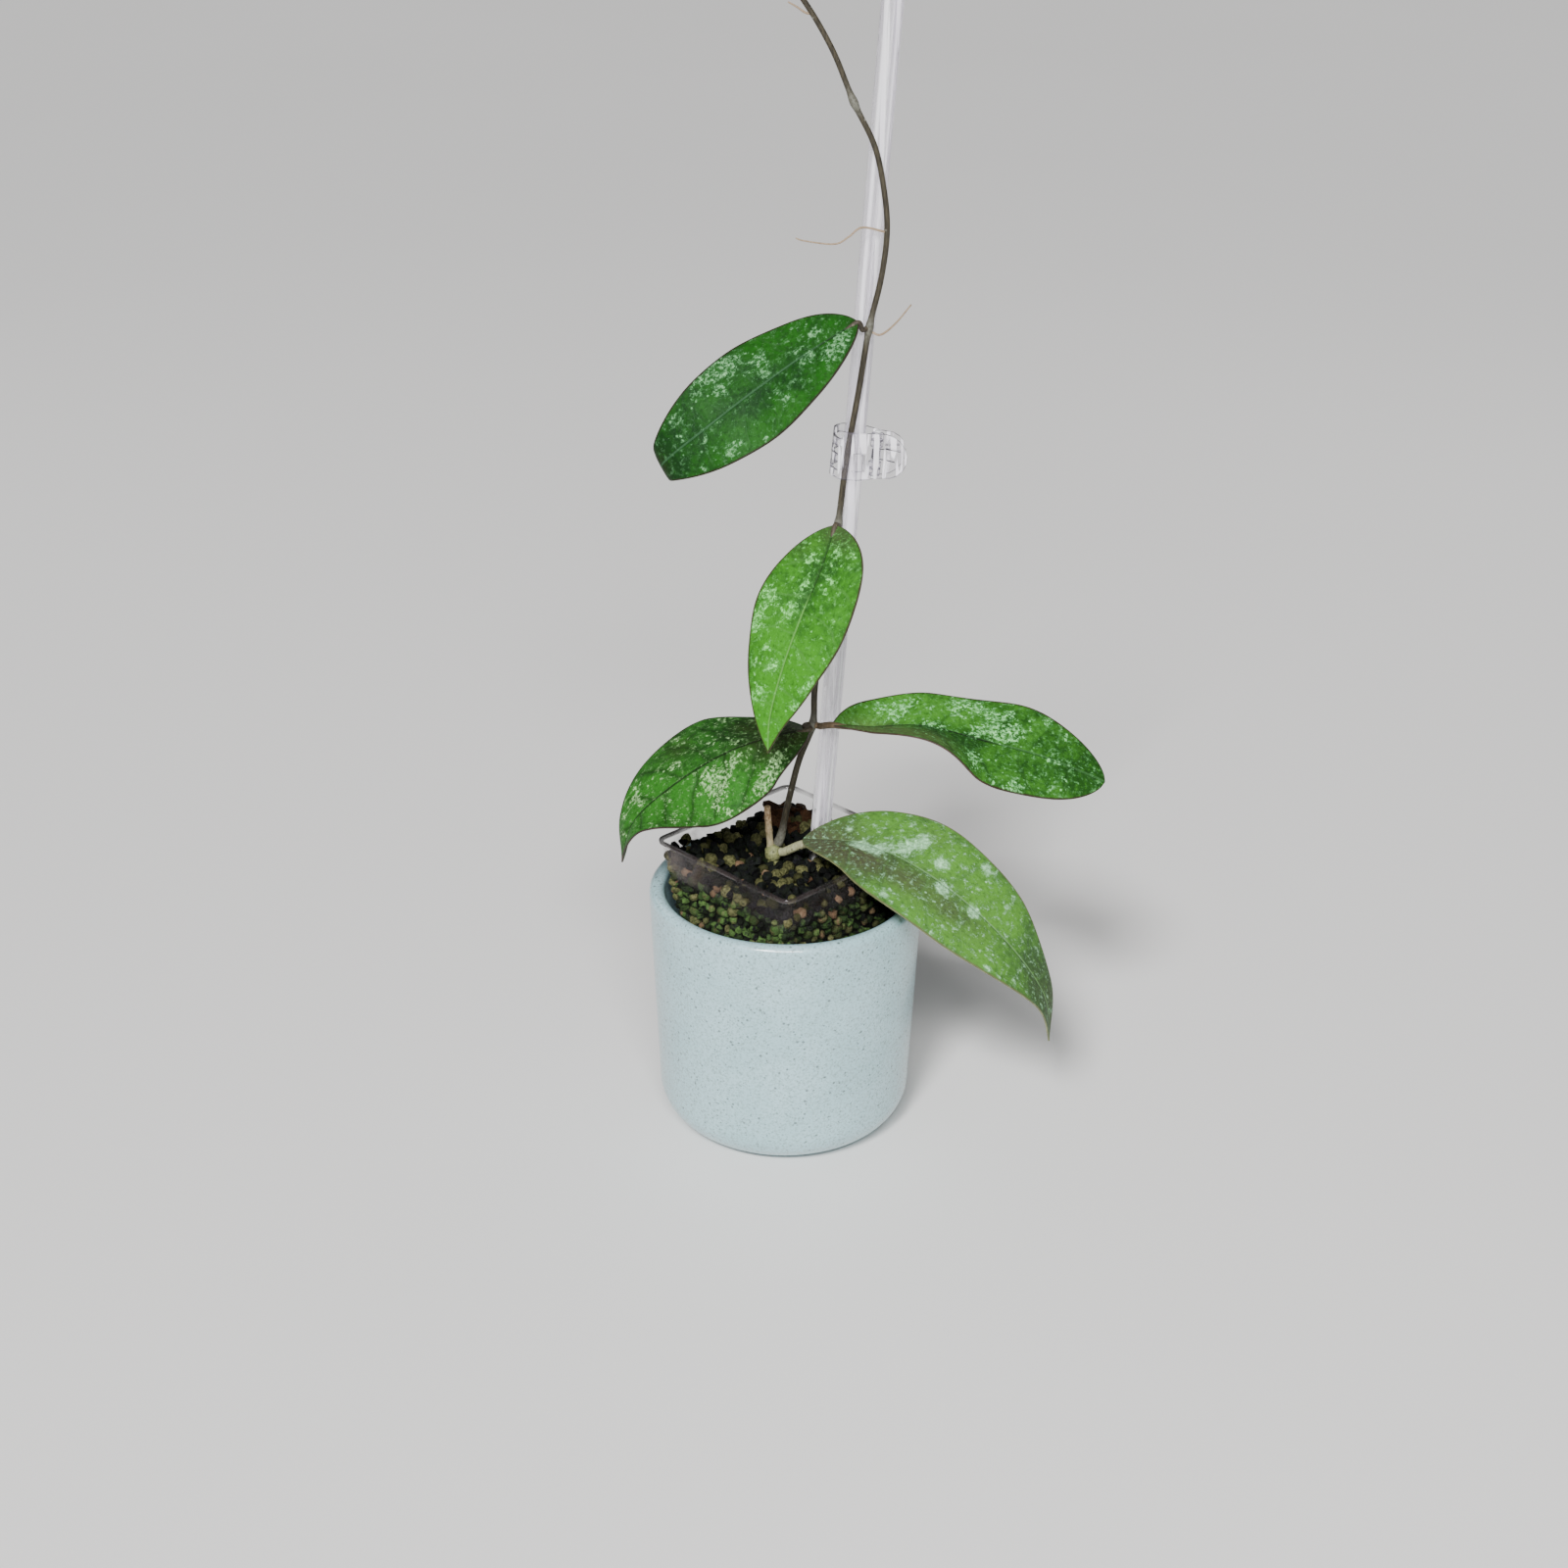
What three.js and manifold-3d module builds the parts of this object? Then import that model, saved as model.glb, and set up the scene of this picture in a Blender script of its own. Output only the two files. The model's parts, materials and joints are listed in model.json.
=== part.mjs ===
// A splash hoya lambii in its clear square nursery pot, standing in a glazed round cachepot.
// Millimetres, +Z up. The origin is the centre of the cachepot's flat base, and the side that
// is looked at faces -Y.

import * as THREE from 'three';
import { mergeVertices } from 'three/addons/utils/BufferGeometryUtils.js';
import Module from 'manifold-3d';

const wasm = await Module();
wasm.setup();

// Gap that touching pieces keep between them
const SEAT = 0.3;

// Points a curve is measured at before its length is shared out
const CURVE_STEPS = 600;

// Glazed round cachepot
const CACHEPOT = {
  rimRadius: 55, height: 104.3, wall: 6.3, footRadius: 51.6, heel: 16.3,
  floor: 7, innerHeel: 9, segments: 44, heelSteps: 5, lipSteps: 6, innerSteps: 3,
};

// Clear square pot, set corner-on to the viewer. Half sizes are from the centre to a flat side.
const NURSERY = {
  x: 0.6, y: 0.8, rimZ: 123, half: 37, wall: 0.8, floor: 1.2, draft: 0.114,
  rimCorner: 4, corner: 6, easeDepth: 20, leastCorner: 1, cornerSteps: 5,
  lip: 1.0, lipHeight: 1.6, lipTurn: 0.4, holeRadius: 3.5, holeSpacing: 15, holeSides: 12,
};

// Coarse grit of lava, pumice and bark. It rises to the back, with a bank by the left wall.
const SUBSTRATE = {
  top: 112.6, wallGap: 0.35, bankX: -44, bankY: 5, bankHeight: 6, bankReach: 14,
  riseFrom: 4, riseTo: 28, riseHeight: 4.4, heapX: 4, heapY: 36, heapHeight: 1.2, heapReach: 12,
  rings: [1, 0.86, 0.66, 0.42, 0.2], spacing: 6.0, jitter: 0.2, grainMin: 3.3, grainMax: 4.2,
  stretch: 0.15, sink: 1.4, edgeInset: 4.1, cornerReach: 1.3, holeSpare: 0.4, seed: 11,
};

// Clear rod that the vine climbs, leaning a little to +X. Its axis crosses the ground at x, y.
const STAKE = {
  x: 6.0, y: 9, lean: 0.06355, radius: 4, length: 450, bottom: 25, chamfer: 0.6, sides: 20,
};

// Old cutting that the plant grew from: knob at the surface, dead stub above, stem and roots below
const CUTTING = {
  knob: [-5.2, 4, 115.6], knobRadius: 3.8,
  stub: [[-6.2, 4.4, 117], [-6.9, 4.8, 125], [-7.7, 5.2, 135.6]], stubRadius: 1.4, stubSteps: 3,
  stem: [[-5.2, 4, 114], [-4.6, 4, 100], [-4, 3.6, 84]], stemRadius: 2.3, stemTaper: 0.2,
  stemSteps: 5, sides: 7,
  roots: [
    [[-4.4, 3.8, 96], [-14, -3, 78], [-20, -8, 48]],
    [[-4.4, 3.8, 92], [4, -8, 74], [7, -17, 46]],
    [[-4.2, 3.7, 88], [-9, 14, 68], [-12, 20, 40]],
    [[-4.1, 3.6, 86], [-2, 2, 62], [2, -1, 34]],
  ],
  rootRadius: 0.9, rootTaper: 0.5, rootSteps: 5, rootSides: 5,
};

// Climbing stem, from the knob to the bare growing tip
const VINE = {
  path: [
    [-3.5, 4.9, 119.4], [-2, 4.6, 123.4], [1, 4.2, 139.6], [4.8, 4, 156.6], [10, 4, 172.3],
    [10.7, 4, 188.5], [14.2, 4, 221.1], [18.5, 4, 254.7], [20.3, 4, 272], [21.9, 4, 285.3],
    [25.4, 3.8, 307.7], [28.5, 3.6, 329.7], [32.3, 3.4, 347.6], [34, 3.2, 363.4], [32.9, 3, 377.2],
    [29, 2.6, 394.2], [21.2, 2, 409.6], [13.4, 1, 427.3], [3.4, 0, 443.4], [-9, -1, 458],
    [-21, -1.5, 465.5],
  ],
  footRadius: 2.0, footLength: 6, lowRadius: 1.35, highRadius: 0.95, tipRadius: 0.5, tipLength: 25,
  nodes: [[10, 4, 172.3], [18.5, 4, 254.7], [28.5, 3.6, 329.7], [21.2, 2, 409.6]],
  nodeSwell: 0.55, nodeLength: 2.6, steps: 64, sides: 7,
};

// Thin roots that grow from the stem into the air
const AERIAL = {
  roots: [
    [[33.9, 3.2, 364.4], [25.1, 1, 366.5], [20.6, -1, 363.8], [15.4, -2, 361.2],
      [4.7, -2, 362.2], [1.5, -2, 363.2]],
    [[29.2, 3.6, 328.4], [32.8, 2.6, 327.6], [37.9, 1, 332.2], [43.3, 0, 339.3]],
    [[6.2, 0.3, 439], [4.1, 0.2, 439.3], [1.1, 0, 441.2], [-1.9, 0, 442.8]],
  ],
  radius: 0.45, taper: 0.4, stepsPerPoint: 2, sides: 5,
};

// Leaves. The midrib runs from the petiole to the tip. The half width along it follows
// t^swell * (1 - t)^taper. The face starts square to up, then rolls and folds by the listed
// degrees, which are spread evenly along the midrib. Pucker is the height of the quilting
// between the side veins.
const LEAVES = {
  leaf_basal: {
    node: [-5.2, 4, 115.6], nodeRadius: 3.8, out: [0.87, -0.4, 0.3], petioleRadius: 1.8,
    midrib: [[6.9, -1.6, 124.5], [32.7, -12.2, 127], [57.9, -27.8, 120.6], [82.9, -38.1, 102.1],
      [100.5, -41.5, 78.2], [104.3, -44, 57.8]],
    halfWidth: 26.4, swell: 0.61, taper: 0.97, up: [0.2, -0.35, 1], arch: 0.08,
    roll: [-11, -2, -5, -26], fold: [16, 6, 11], wave: 0.5, pucker: 0.25, colour: 0x7c9440,
  },
  leaf_lower_left: {
    node: [10, 4, 172.3], nodeRadius: 1.8, out: [-0.85, -0.5, 0], petioleRadius: 1.3,
    midrib: [[8.8, -4.2, 173.5], [-8.3, -2.9, 168.8], [-25.7, -5.1, 162.4], [-44.3, -6.9, 150.1],
      [-59.1, -12.8, 137.6], [-64.2, -20.3, 123.2]],
    halfWidth: 27.2, swell: 0.58, taper: 0.88, up: [-0.2, -0.45, 1], arch: 0.04,
    roll: [25, 2, 1, 42], fold: [-15, -7, 13], wave: 0.3, pucker: 0.75, colour: 0x2c5c26,
  },
  leaf_lower_right: {
    node: [10, 4, 172.3], nodeRadius: 1.8, out: [0.85, -0.5, 0], petioleRadius: 1.35,
    midrib: [[17.6, -6.2, 176.5], [32, -3.9, 174.4], [52.7, -8, 176.8], [74.8, -9.5, 171.8],
      [98.4, -14.8, 167.5], [123, -16.5, 157.9]],
    halfWidth: 22.8, swell: 0.66, taper: 0.61, up: [0.1, -0.3, 1], arch: 0,
    roll: [-1, -15, 10, 18], fold: [31, 6, -5], wave: 0.3, pucker: 0.3, colour: 0x3f7c2c,
  },
  leaf_middle: {
    node: [18.5, 4, 254.7], nodeRadius: 1.7, out: [0, -1, 0], petioleRadius: 1.2,
    midrib: [[17.4, -4.5, 257], [11.9, -17.3, 243.8], [4.7, -25.9, 227.9], [-1.6, -31.2, 210.7],
      [-6.2, -34.4, 192.3], [-7.1, -37.1, 178.3]],
    halfWidth: 19.9, swell: 0.6, taper: 1.04, up: [0, -0.6, 0.8], arch: 0.05,
    roll: [26, 17, 16, 16], fold: [4, 5, 3], wave: 0.5, pucker: 0.25, colour: 0x55922f,
  },
  leaf_upper: {
    node: [28.5, 3.6, 329.7], nodeRadius: 1.6, out: [-0.8, -0.6, 0], petioleRadius: 1,
    midrib: [[24.2, -0.9, 332.8], [5.7, -2, 321.1], [-13.4, -5.7, 308.1], [-31.2, -9.5, 295],
      [-45.8, -6.7, 281.9], [-46.2, 2.2, 276.2]],
    halfWidth: 19.8, swell: 0.6, taper: 0.81, up: [-0.1, -0.75, 0.65], arch: 0.05,
    roll: [20, 9, -7, -9], fold: [6, 1, 2], wave: 0.4, pucker: 0.25, colour: 0x2f6a2a,
  },
};

// Shape that the leaf blades share: thickness at the middle and the edge, the midrib's ridge,
// the half widths at both ends, and the side veins, which sweep towards the tip
const BLADE = {
  along: 17, across: 6, middle: 1.2, edge: 0.7, ridge: 1.1, baseHalf: 1.1, tipHalf: 0.25,
  veins: 8, veinSweep: 0.14, waves: 3, waveShift: 2,
};
const PETIOLE = { steps: 8, sides: 7, straight: 1.4, endRadius: 0.9, reach: 0.07, drop: 0.5 };

// Clear claw clip that holds the vine to the stake. Its own frame has X towards the finger
// tabs, Y away from the viewer and Z up the pin. The jaw lists are centre lines across the pin.
const CLIP = {
  x: 32.2, y: 8, z: 281.1, tilt: 0.083, thickness: 1.3, halfHeight: 9,
  jaw: [
    [11.5, 5.5], [5.5, 3.2], [2, 2.4], [-2.5, 4.3], [-6, 5.8], [-10.2, 6.3],
    [-13.6, 5], [-15.6, 2.2], [-16, -0.7],
  ],
  jawSteps: 15, cutReach: 20, shoulderX: -6, tabRadius: 8.4, tabX: 3.1, tabSteps: 9,
  teethX: -13, toothBite: 5, toothWidth: 2.7, toothPitch: 6, frontTooth: 4.6, backTooth: 1.6,
  windowX: -6.35, windowWidth: 4.9, windowZ: -2.2, windowHeight: 7,
  slitX: 6, slitLength: 5.4, slitZ: 3, slitWidth: 0.6,
  lugRadius: 2.4, lugLength: 2.3, lugSides: 14, webReach: 4,
  frontLugs: [-6.85, 4.1], backLugs: [-4.25, 6.8],
  pinRadius: 0.65, pinHalf: 8.5, pinSides: 12, boreSides: 10, headRadius: 1.15, headHeight: 0.6,
  coilRadius: 1.45, coilTurns: 4.5, coilPitch: 0.72, stepsPerTurn: 8, coilSides: 4,
  wireRadius: 0.22, legSteps: 6, armSteps: 5, armSides: 5,
  legKnee: [3.2, 1.35], legEnd: [7.2, 2.5],
};

function toSolid(geometry) {
  const bare = geometry.index ? geometry.clone() : geometry;
  bare.deleteAttribute('normal');
  bare.deleteAttribute('uv');
  const merged = mergeVertices(bare, 1e-5);
  return new wasm.Manifold(new wasm.Mesh({
    numProp: 3,
    vertProperties: new Float32Array(merged.attributes.position.array),
    triVerts: new Uint32Array(merged.index.array),
  }));
}

function toGeometry(solid) {
  const mesh = solid.getMesh();
  const geometry = new THREE.BufferGeometry();
  geometry.setAttribute('position', new THREE.BufferAttribute(new Float32Array(mesh.vertProperties), 3));
  geometry.setIndex(new THREE.BufferAttribute(new Uint32Array(mesh.triVerts), 1));
  geometry.computeVertexNormals();
  return geometry;
}

function join(solids) {
  return solids.reduce((whole, solid) => whole.add(solid));
}

// The largest connected skin, without loose scraps or sealed pockets
function mainBody(solid) {
  return solid.decompose().reduce((main, part) => (part.volume() > main.volume() ? part : main));
}

function vector(point) {
  return new THREE.Vector3(...point);
}

function curveThrough(points) {
  const curve = new THREE.CatmullRomCurve3(points.map(vector), false, 'catmullrom', 0.5);
  curve.arcLengthDivisions = CURVE_STEPS;
  return curve;
}

// Smooth value at t from values spread evenly along 0..1
function along(values, t) {
  return curveThrough(values.map((value, i) => [i, value, 0])).getPoint(t).y;
}

function seededRandom(seed) {
  let state = seed;
  return () => {
    state = (state * 1664525 + 1013904223) % 4294967296;
    return state / 4294967296;
  };
}

// Closed skin over a list of rings with equal counts of points, with a fan over each end
function loft(rings) {
  const count = rings[0].length;
  const points = rings.flat();
  const middle = (ring) => ring.reduce((sum, p) => sum.add(p), new THREE.Vector3()).divideScalar(count);
  points.push(middle(rings[0]), middle(rings[rings.length - 1]));
  const first = points.length - 2;
  const last = points.length - 1;
  const top = (rings.length - 1) * count;
  const faces = [];
  for (let j = 0; j < count; j += 1) {
    const k = (j + 1) % count;
    for (let i = 0; i + 1 < rings.length; i += 1) {
      const a = i * count;
      faces.push(a + j, a + k, a + count + k, a + j, a + count + k, a + count + j);
    }
    faces.push(first, k, j, last, top + j, top + k);
  }
  const geometry = new THREE.BufferGeometry().setFromPoints(points);
  geometry.setIndex(faces);
  return geometry;
}

// Round tube along a curve, with its radius given at each share of the length
function tube(curve, radiusAt, steps, sides) {
  const frames = curve.computeFrenetFrames(steps, false);
  const rings = [];
  for (let i = 0; i <= steps; i += 1) {
    const centre = curve.getPointAt(i / steps);
    const radius = radiusAt(i / steps);
    const ring = [];
    for (let j = 0; j < sides; j += 1) {
      const angle = (2 * Math.PI * j) / sides;
      ring.push(centre.clone()
        .addScaledVector(frames.normals[i], radius * Math.cos(angle))
        .addScaledVector(frames.binormals[i], radius * Math.sin(angle)));
    }
    rings.push(ring);
  }
  return loft(rings);
}

function straightCylinder(radius, bottom, top, sides) {
  const geometry = new THREE.CylinderGeometry(radius, radius, top - bottom, sides);
  geometry.rotateX(Math.PI / 2);
  geometry.translate(0, 0, (top + bottom) / 2);
  return geometry;
}

function box(x0, x1, y0, y1, z0, z1) {
  const geometry = new THREE.BoxGeometry(x1 - x0, y1 - y0, z1 - z0);
  geometry.translate((x0 + x1) / 2, (y0 + y1) / 2, (z0 + z1) / 2);
  return toSolid(geometry);
}

function arcPoints(x, y, radius, from, to, steps) {
  const points = [];
  for (let i = 0; i <= steps; i += 1) {
    const angle = THREE.MathUtils.degToRad(from + ((to - from) * i) / steps);
    points.push(new THREE.Vector2(x + radius * Math.cos(angle), y + radius * Math.sin(angle)));
  }
  return points;
}

// Cachepot: straight sides with a slight taper, a full round lip and a large round heel
function cachepotGeometry() {
  const { rimRadius, height, wall, footRadius, heel, floor, innerHeel, segments } = CACHEPOT;
  const { heelSteps, lipSteps, innerSteps } = CACHEPOT;
  const lip = wall / 2;
  const innerX = footRadius - wall - innerHeel;
  const profile = [
    new THREE.Vector2(0, 0),
    ...arcPoints(footRadius - heel, heel, heel, -90, 0, heelSteps),
    ...arcPoints(rimRadius - lip, height - lip, lip, 0, 180, lipSteps),
    ...arcPoints(innerX, floor + innerHeel, innerHeel, 0, -90, innerSteps),
    new THREE.Vector2(0, floor),
  ];
  return new THREE.LatheGeometry(profile, segments);
}

// Nursery pot
function cornerRadiusAt(z) {
  const { rimZ, rimCorner, corner, easeDepth } = NURSERY;
  return THREE.MathUtils.lerp(rimCorner, corner, Math.min(1, (rimZ - z) / easeDepth));
}

function halfAt(z) {
  return NURSERY.half - (NURSERY.rimZ - z) * NURSERY.draft;
}

// Rounded square with its corners towards the X and Y axes, drawn inwards by an inset
function squareRing(z, inset, shrink = 1) {
  const { x, y, leastCorner, cornerSteps } = NURSERY;
  const corner = Math.max(cornerRadiusAt(z) - inset, leastCorner);
  const flat = halfAt(z) - inset - corner;
  const ring = [];
  for (let side = 0; side < 4; side += 1) {
    const centreAngle = (side * Math.PI) / 2 + Math.PI / 2;
    for (let i = 0; i <= cornerSteps; i += 1) {
      const angle = ((side + i / cornerSteps) * Math.PI) / 2 + Math.PI / 4;
      const outX = flat * Math.SQRT2 * Math.cos(centreAngle) + corner * Math.cos(angle);
      const outY = flat * Math.SQRT2 * Math.sin(centreAngle) + corner * Math.sin(angle);
      ring.push(new THREE.Vector3(x + shrink * outX, y + shrink * outY, z));
    }
  }
  return ring;
}

const nurseryBottom = CACHEPOT.floor + SEAT;

function nurseryGeometry() {
  const { x, y, rimZ, wall, floor, lip, lipHeight, lipTurn, easeDepth } = NURSERY;
  const { holeRadius, holeSpacing, holeSides } = NURSERY;
  const shell = toSolid(loft([
    squareRing(nurseryBottom, 0),
    squareRing(rimZ - easeDepth, 0),
    squareRing(rimZ - lipHeight, 0),
    squareRing(rimZ - lipHeight + lipTurn, -lip),
    squareRing(rimZ, -lip),
    squareRing(rimZ, wall),
    squareRing(rimZ - easeDepth, wall),
    squareRing(nurseryBottom + floor, wall),
  ]));
  const places = [[0, 0], [1, 0], [-1, 0], [0, 1], [0, -1]];
  const drains = places.map(([across, back]) => {
    const hole = straightCylinder(holeRadius, nurseryBottom - floor, nurseryBottom + 2 * floor, holeSides);
    hole.translate(x + across * holeSpacing, y + back * holeSpacing, 0);
    return toSolid(hole);
  });
  return toGeometry(shell.subtract(join(drains)));
}

// Substrate: a body that fills the pot, grit sunk into its top, and plain holes for what stands in it
function surfaceHeight(x, y) {
  const { top, bankX, bankY, bankHeight, bankReach, riseFrom, riseTo, riseHeight } = SUBSTRATE;
  const { heapX, heapY, heapHeight, heapReach } = SUBSTRATE;
  const bump = (cx, cy, reach) => Math.exp(-((x - cx) ** 2 + (y - cy) ** 2) / (2 * reach ** 2));
  const bank = bankHeight * bump(bankX, bankY, bankReach);
  const rise = riseHeight * THREE.MathUtils.smoothstep(y, riseFrom, riseTo);
  const heap = heapHeight * bump(heapX, heapY, heapReach);
  return top + bank + rise + heap;
}

const potInset = NURSERY.wall + SUBSTRATE.wallGap;
const lowerRings = [
  squareRing(nurseryBottom + NURSERY.floor + SEAT, potInset),
  squareRing(NURSERY.rimZ - NURSERY.easeDepth, potInset),
];

function potInside() {
  return toSolid(loft([...lowerRings, squareRing(NURSERY.rimZ - SEAT, potInset)]));
}

function substrateCore() {
  const rings = [...lowerRings];
  SUBSTRATE.rings.forEach((shrink) => {
    const ring = squareRing(SUBSTRATE.top, potInset, shrink);
    ring.forEach((point) => point.setZ(surfaceHeight(point.x, point.y)));
    rings.push(ring);
  });
  return toSolid(loft(rings));
}

// One grain of grit at a place on the surface, which is given along the pot's sides
function grainSolid(across, back, random) {
  const { grainMin, grainMax, stretch, sink } = SUBSTRATE;
  const x = NURSERY.x + (across - back) * Math.SQRT1_2;
  const y = NURSERY.y + (across + back) * Math.SQRT1_2;
  const turn = [0, 0, 0].map(() => random() * 2 * Math.PI);
  const size = [0, 0, 0].map(() => 1 + (2 * random() - 1) * stretch);
  const grain = new THREE.OctahedronGeometry(THREE.MathUtils.lerp(grainMin, grainMax, random()), 0);
  grain.applyMatrix4(new THREE.Matrix4().compose(
    new THREE.Vector3(x, y, surfaceHeight(x, y) - sink * random()),
    new THREE.Quaternion().setFromEuler(new THREE.Euler(...turn)),
    new THREE.Vector3(...size),
  ));
  return toSolid(grain);
}

function grains() {
  const { top, spacing, jitter, edgeInset, cornerReach, seed } = SUBSTRATE;
  const random = seededRandom(seed);
  const reach = halfAt(top) - edgeInset;
  const row = (spacing * Math.sqrt(3)) / 2;
  const list = [];
  for (let j = 0; j * row <= 2 * reach; j += 1) {
    for (let i = 0; i * spacing <= 2 * reach; i += 1) {
      const shift = (j % 2) * (spacing / 2);
      const across = i * spacing + shift - reach + (2 * random() - 1) * spacing * jitter;
      const back = j * row - reach + (2 * random() - 1) * spacing * jitter;
      if (Math.abs(across) <= reach && Math.hypot(across, back) <= reach * cornerReach) {
        list.push(grainSolid(across, back, random));
      }
    }
  }
  return list;
}

// Stake
function stakeBase() {
  return new THREE.Vector3(STAKE.x + STAKE.lean * STAKE.bottom, STAKE.y, STAKE.bottom);
}

function stakeGeometry(spare = 0) {
  const { radius, length, chamfer, sides, lean } = STAKE;
  const profile = [
    new THREE.Vector2(0, -spare),
    new THREE.Vector2(radius + spare - chamfer, -spare),
    new THREE.Vector2(radius + spare, chamfer - spare),
    new THREE.Vector2(radius + spare, length - chamfer),
    new THREE.Vector2(radius + spare - chamfer, length),
    new THREE.Vector2(0, length),
  ];
  const rod = new THREE.LatheGeometry(profile, sides);
  rod.rotateX(Math.PI / 2);
  rod.rotateY(Math.atan(lean));
  rod.translate(...stakeBase().toArray());
  return rod;
}

// Old cutting, or with spare the hole that it stands in
function cuttingSolid(spare = 0) {
  const { knob, knobRadius, stub, stubRadius, stubSteps } = CUTTING;
  const { stem, stemRadius, stemTaper, stemSteps, sides } = CUTTING;
  const { roots, rootRadius, rootTaper, rootSteps, rootSides } = CUTTING;
  const sphere = new THREE.IcosahedronGeometry(knobRadius + spare, 1);
  sphere.translate(...knob);
  const stemRadiusAt = (t) => stemRadius * (1 - stemTaper * t) + spare;
  const rootRadiusAt = (t) => rootRadius * (1 - rootTaper * t) + spare;
  return join([
    toSolid(sphere),
    toSolid(tube(curveThrough(stem), stemRadiusAt, stemSteps, sides)),
    toSolid(tube(curveThrough(stub), () => stubRadius + spare, stubSteps, sides)),
    ...roots.map((root) => toSolid(tube(curveThrough(root), rootRadiusAt, rootSteps, rootSides))),
  ]);
}

// Vine: stem, thicker at its foot and at the leaf nodes, with the thin roots that it bears
function vineSolid() {
  const { path, nodes, steps, sides, nodeSwell, nodeLength } = VINE;
  const curve = curveThrough(path);
  const length = curve.getLength();
  const samples = curve.getSpacedPoints(CURVE_STEPS);
  const nodeAt = nodes.map((node) => {
    const distances = samples.map((point) => point.distanceTo(vector(node)));
    return (distances.indexOf(Math.min(...distances)) / CURVE_STEPS) * length;
  });
  const bump = (distance, reach) => Math.exp(-((distance / reach) ** 2));
  const radiusAt = (t) => {
    const s = t * length;
    const stem = THREE.MathUtils.lerp(VINE.lowRadius, VINE.highRadius, t);
    const foot = (VINE.footRadius - VINE.lowRadius) * bump(s, VINE.footLength);
    const swell = nodeAt.reduce((sum, at) => sum + nodeSwell * bump(s - at, nodeLength), 0);
    const tip = Math.min(1, (length - s) / VINE.tipLength);
    return THREE.MathUtils.lerp(VINE.tipRadius, stem + foot + swell, Math.sqrt(tip));
  };
  const rootRadiusAt = (t) => AERIAL.radius * (1 - AERIAL.taper * t);
  const roots = AERIAL.roots.map((root) => toSolid(
    tube(curveThrough(root), rootRadiusAt, AERIAL.stepsPerPoint * root.length, AERIAL.sides),
  ));
  return join([toSolid(tube(curve, radiusAt, steps, sides)), ...roots]);
}

// Leaf: a waved blade, with the midrib as a ridge under it, joined to its petiole
function bladeFrames(leaf, steps) {
  const curve = curveThrough(leaf.midrib);
  const carried = vector(leaf.up).normalize();
  const frames = [];
  for (let i = 0; i <= steps; i += 1) {
    const t = i / steps;
    const tangent = curve.getTangentAt(t);
    carried.addScaledVector(tangent, -carried.dot(tangent)).normalize();
    const side = new THREE.Vector3().crossVectors(tangent, carried);
    const roll = THREE.MathUtils.degToRad(along(leaf.roll, t));
    const normal = carried.clone().multiplyScalar(Math.cos(roll)).addScaledVector(side, Math.sin(roll));
    const across = new THREE.Vector3().crossVectors(tangent, normal);
    frames.push({ t, centre: curve.getPointAt(t), normal, across });
  }
  return frames;
}

function halfWidthAt(leaf, t) {
  const { swell, taper, halfWidth } = leaf;
  const widest = swell / (swell + taper);
  const peak = widest ** swell * (1 - widest) ** taper;
  const end = THREE.MathUtils.lerp(BLADE.baseHalf, BLADE.tipHalf, t);
  return Math.max(end, (halfWidth * t ** swell * (1 - t) ** taper) / peak);
}

// Point of the blade at s across it, from -1 at one margin to 1 at the other
function bladePoint(leaf, frame, s, lift) {
  const { veins, veinSweep, waves, waveShift } = BLADE;
  const { t } = frame;
  const width = halfWidthAt(leaf, t);
  const reach = width * Math.abs(s);
  const share = Math.min(1, width / leaf.halfWidth);
  const fold = THREE.MathUtils.degToRad(along(leaf.fold, t));
  const vein = Math.sin(Math.PI * veins * (t - veinSweep * Math.abs(s)));
  const quilt = leaf.pucker * vein * Math.sin(Math.PI * Math.abs(s)) * share;
  const shift = s > 0 ? 0 : waveShift;
  const wave = leaf.wave * Math.sin(2 * Math.PI * waves * t + shift) * s * s * share;
  const height = reach * Math.sin(fold) - leaf.arch * s * s * width + quilt + wave + lift;
  return frame.centre.clone()
    .addScaledVector(frame.across, Math.sign(s) * reach * Math.cos(fold))
    .addScaledVector(frame.normal, height);
}

// Closed skin over flat rings whose two faces are split into triangles alike
function loftStrip(rings) {
  const count = rings[0].length;
  const half = count / 2;
  const points = rings.flat();
  const faces = [];
  const quad = (a, b, c, d, flip) => {
    if (flip) faces.push(a, d, b, b, d, c);
    else faces.push(a, c, b, a, d, c);
  };
  for (let i = 0; i + 1 < rings.length; i += 1) {
    for (let j = 0; j < count; j += 1) {
      const k = (j + 1) % count;
      const a = i * count;
      quad(a + j, a + count + j, a + count + k, a + k, j >= half);
    }
  }
  const end = (rings.length - 1) * count;
  for (let j = 0; j + 1 < half; j += 1) {
    quad(j, j + 1, count - 2 - j, count - 1 - j, false);
    quad(end + j, end + count - 1 - j, end + count - 2 - j, end + j + 1, false);
  }
  const geometry = new THREE.BufferGeometry().setFromPoints(points);
  geometry.setIndex(faces);
  return geometry;
}

function bladeGeometry(leaf) {
  const rings = bladeFrames(leaf, BLADE.along).map((frame) => {
    const top = [];
    const under = [];
    for (let j = 0; j <= BLADE.across; j += 1) {
      const s = (2 * j) / BLADE.across - 1;
      const half = THREE.MathUtils.lerp(BLADE.middle, BLADE.edge, Math.abs(s)) / 2;
      const ridge = j === BLADE.across / 2 ? BLADE.ridge * (1 - frame.t) : 0;
      top.push(bladePoint(leaf, frame, s, half));
      under.unshift(bladePoint(leaf, frame, s, -half - ridge));
    }
    return [...top, ...under];
  });
  return loftStrip(rings);
}

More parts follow.
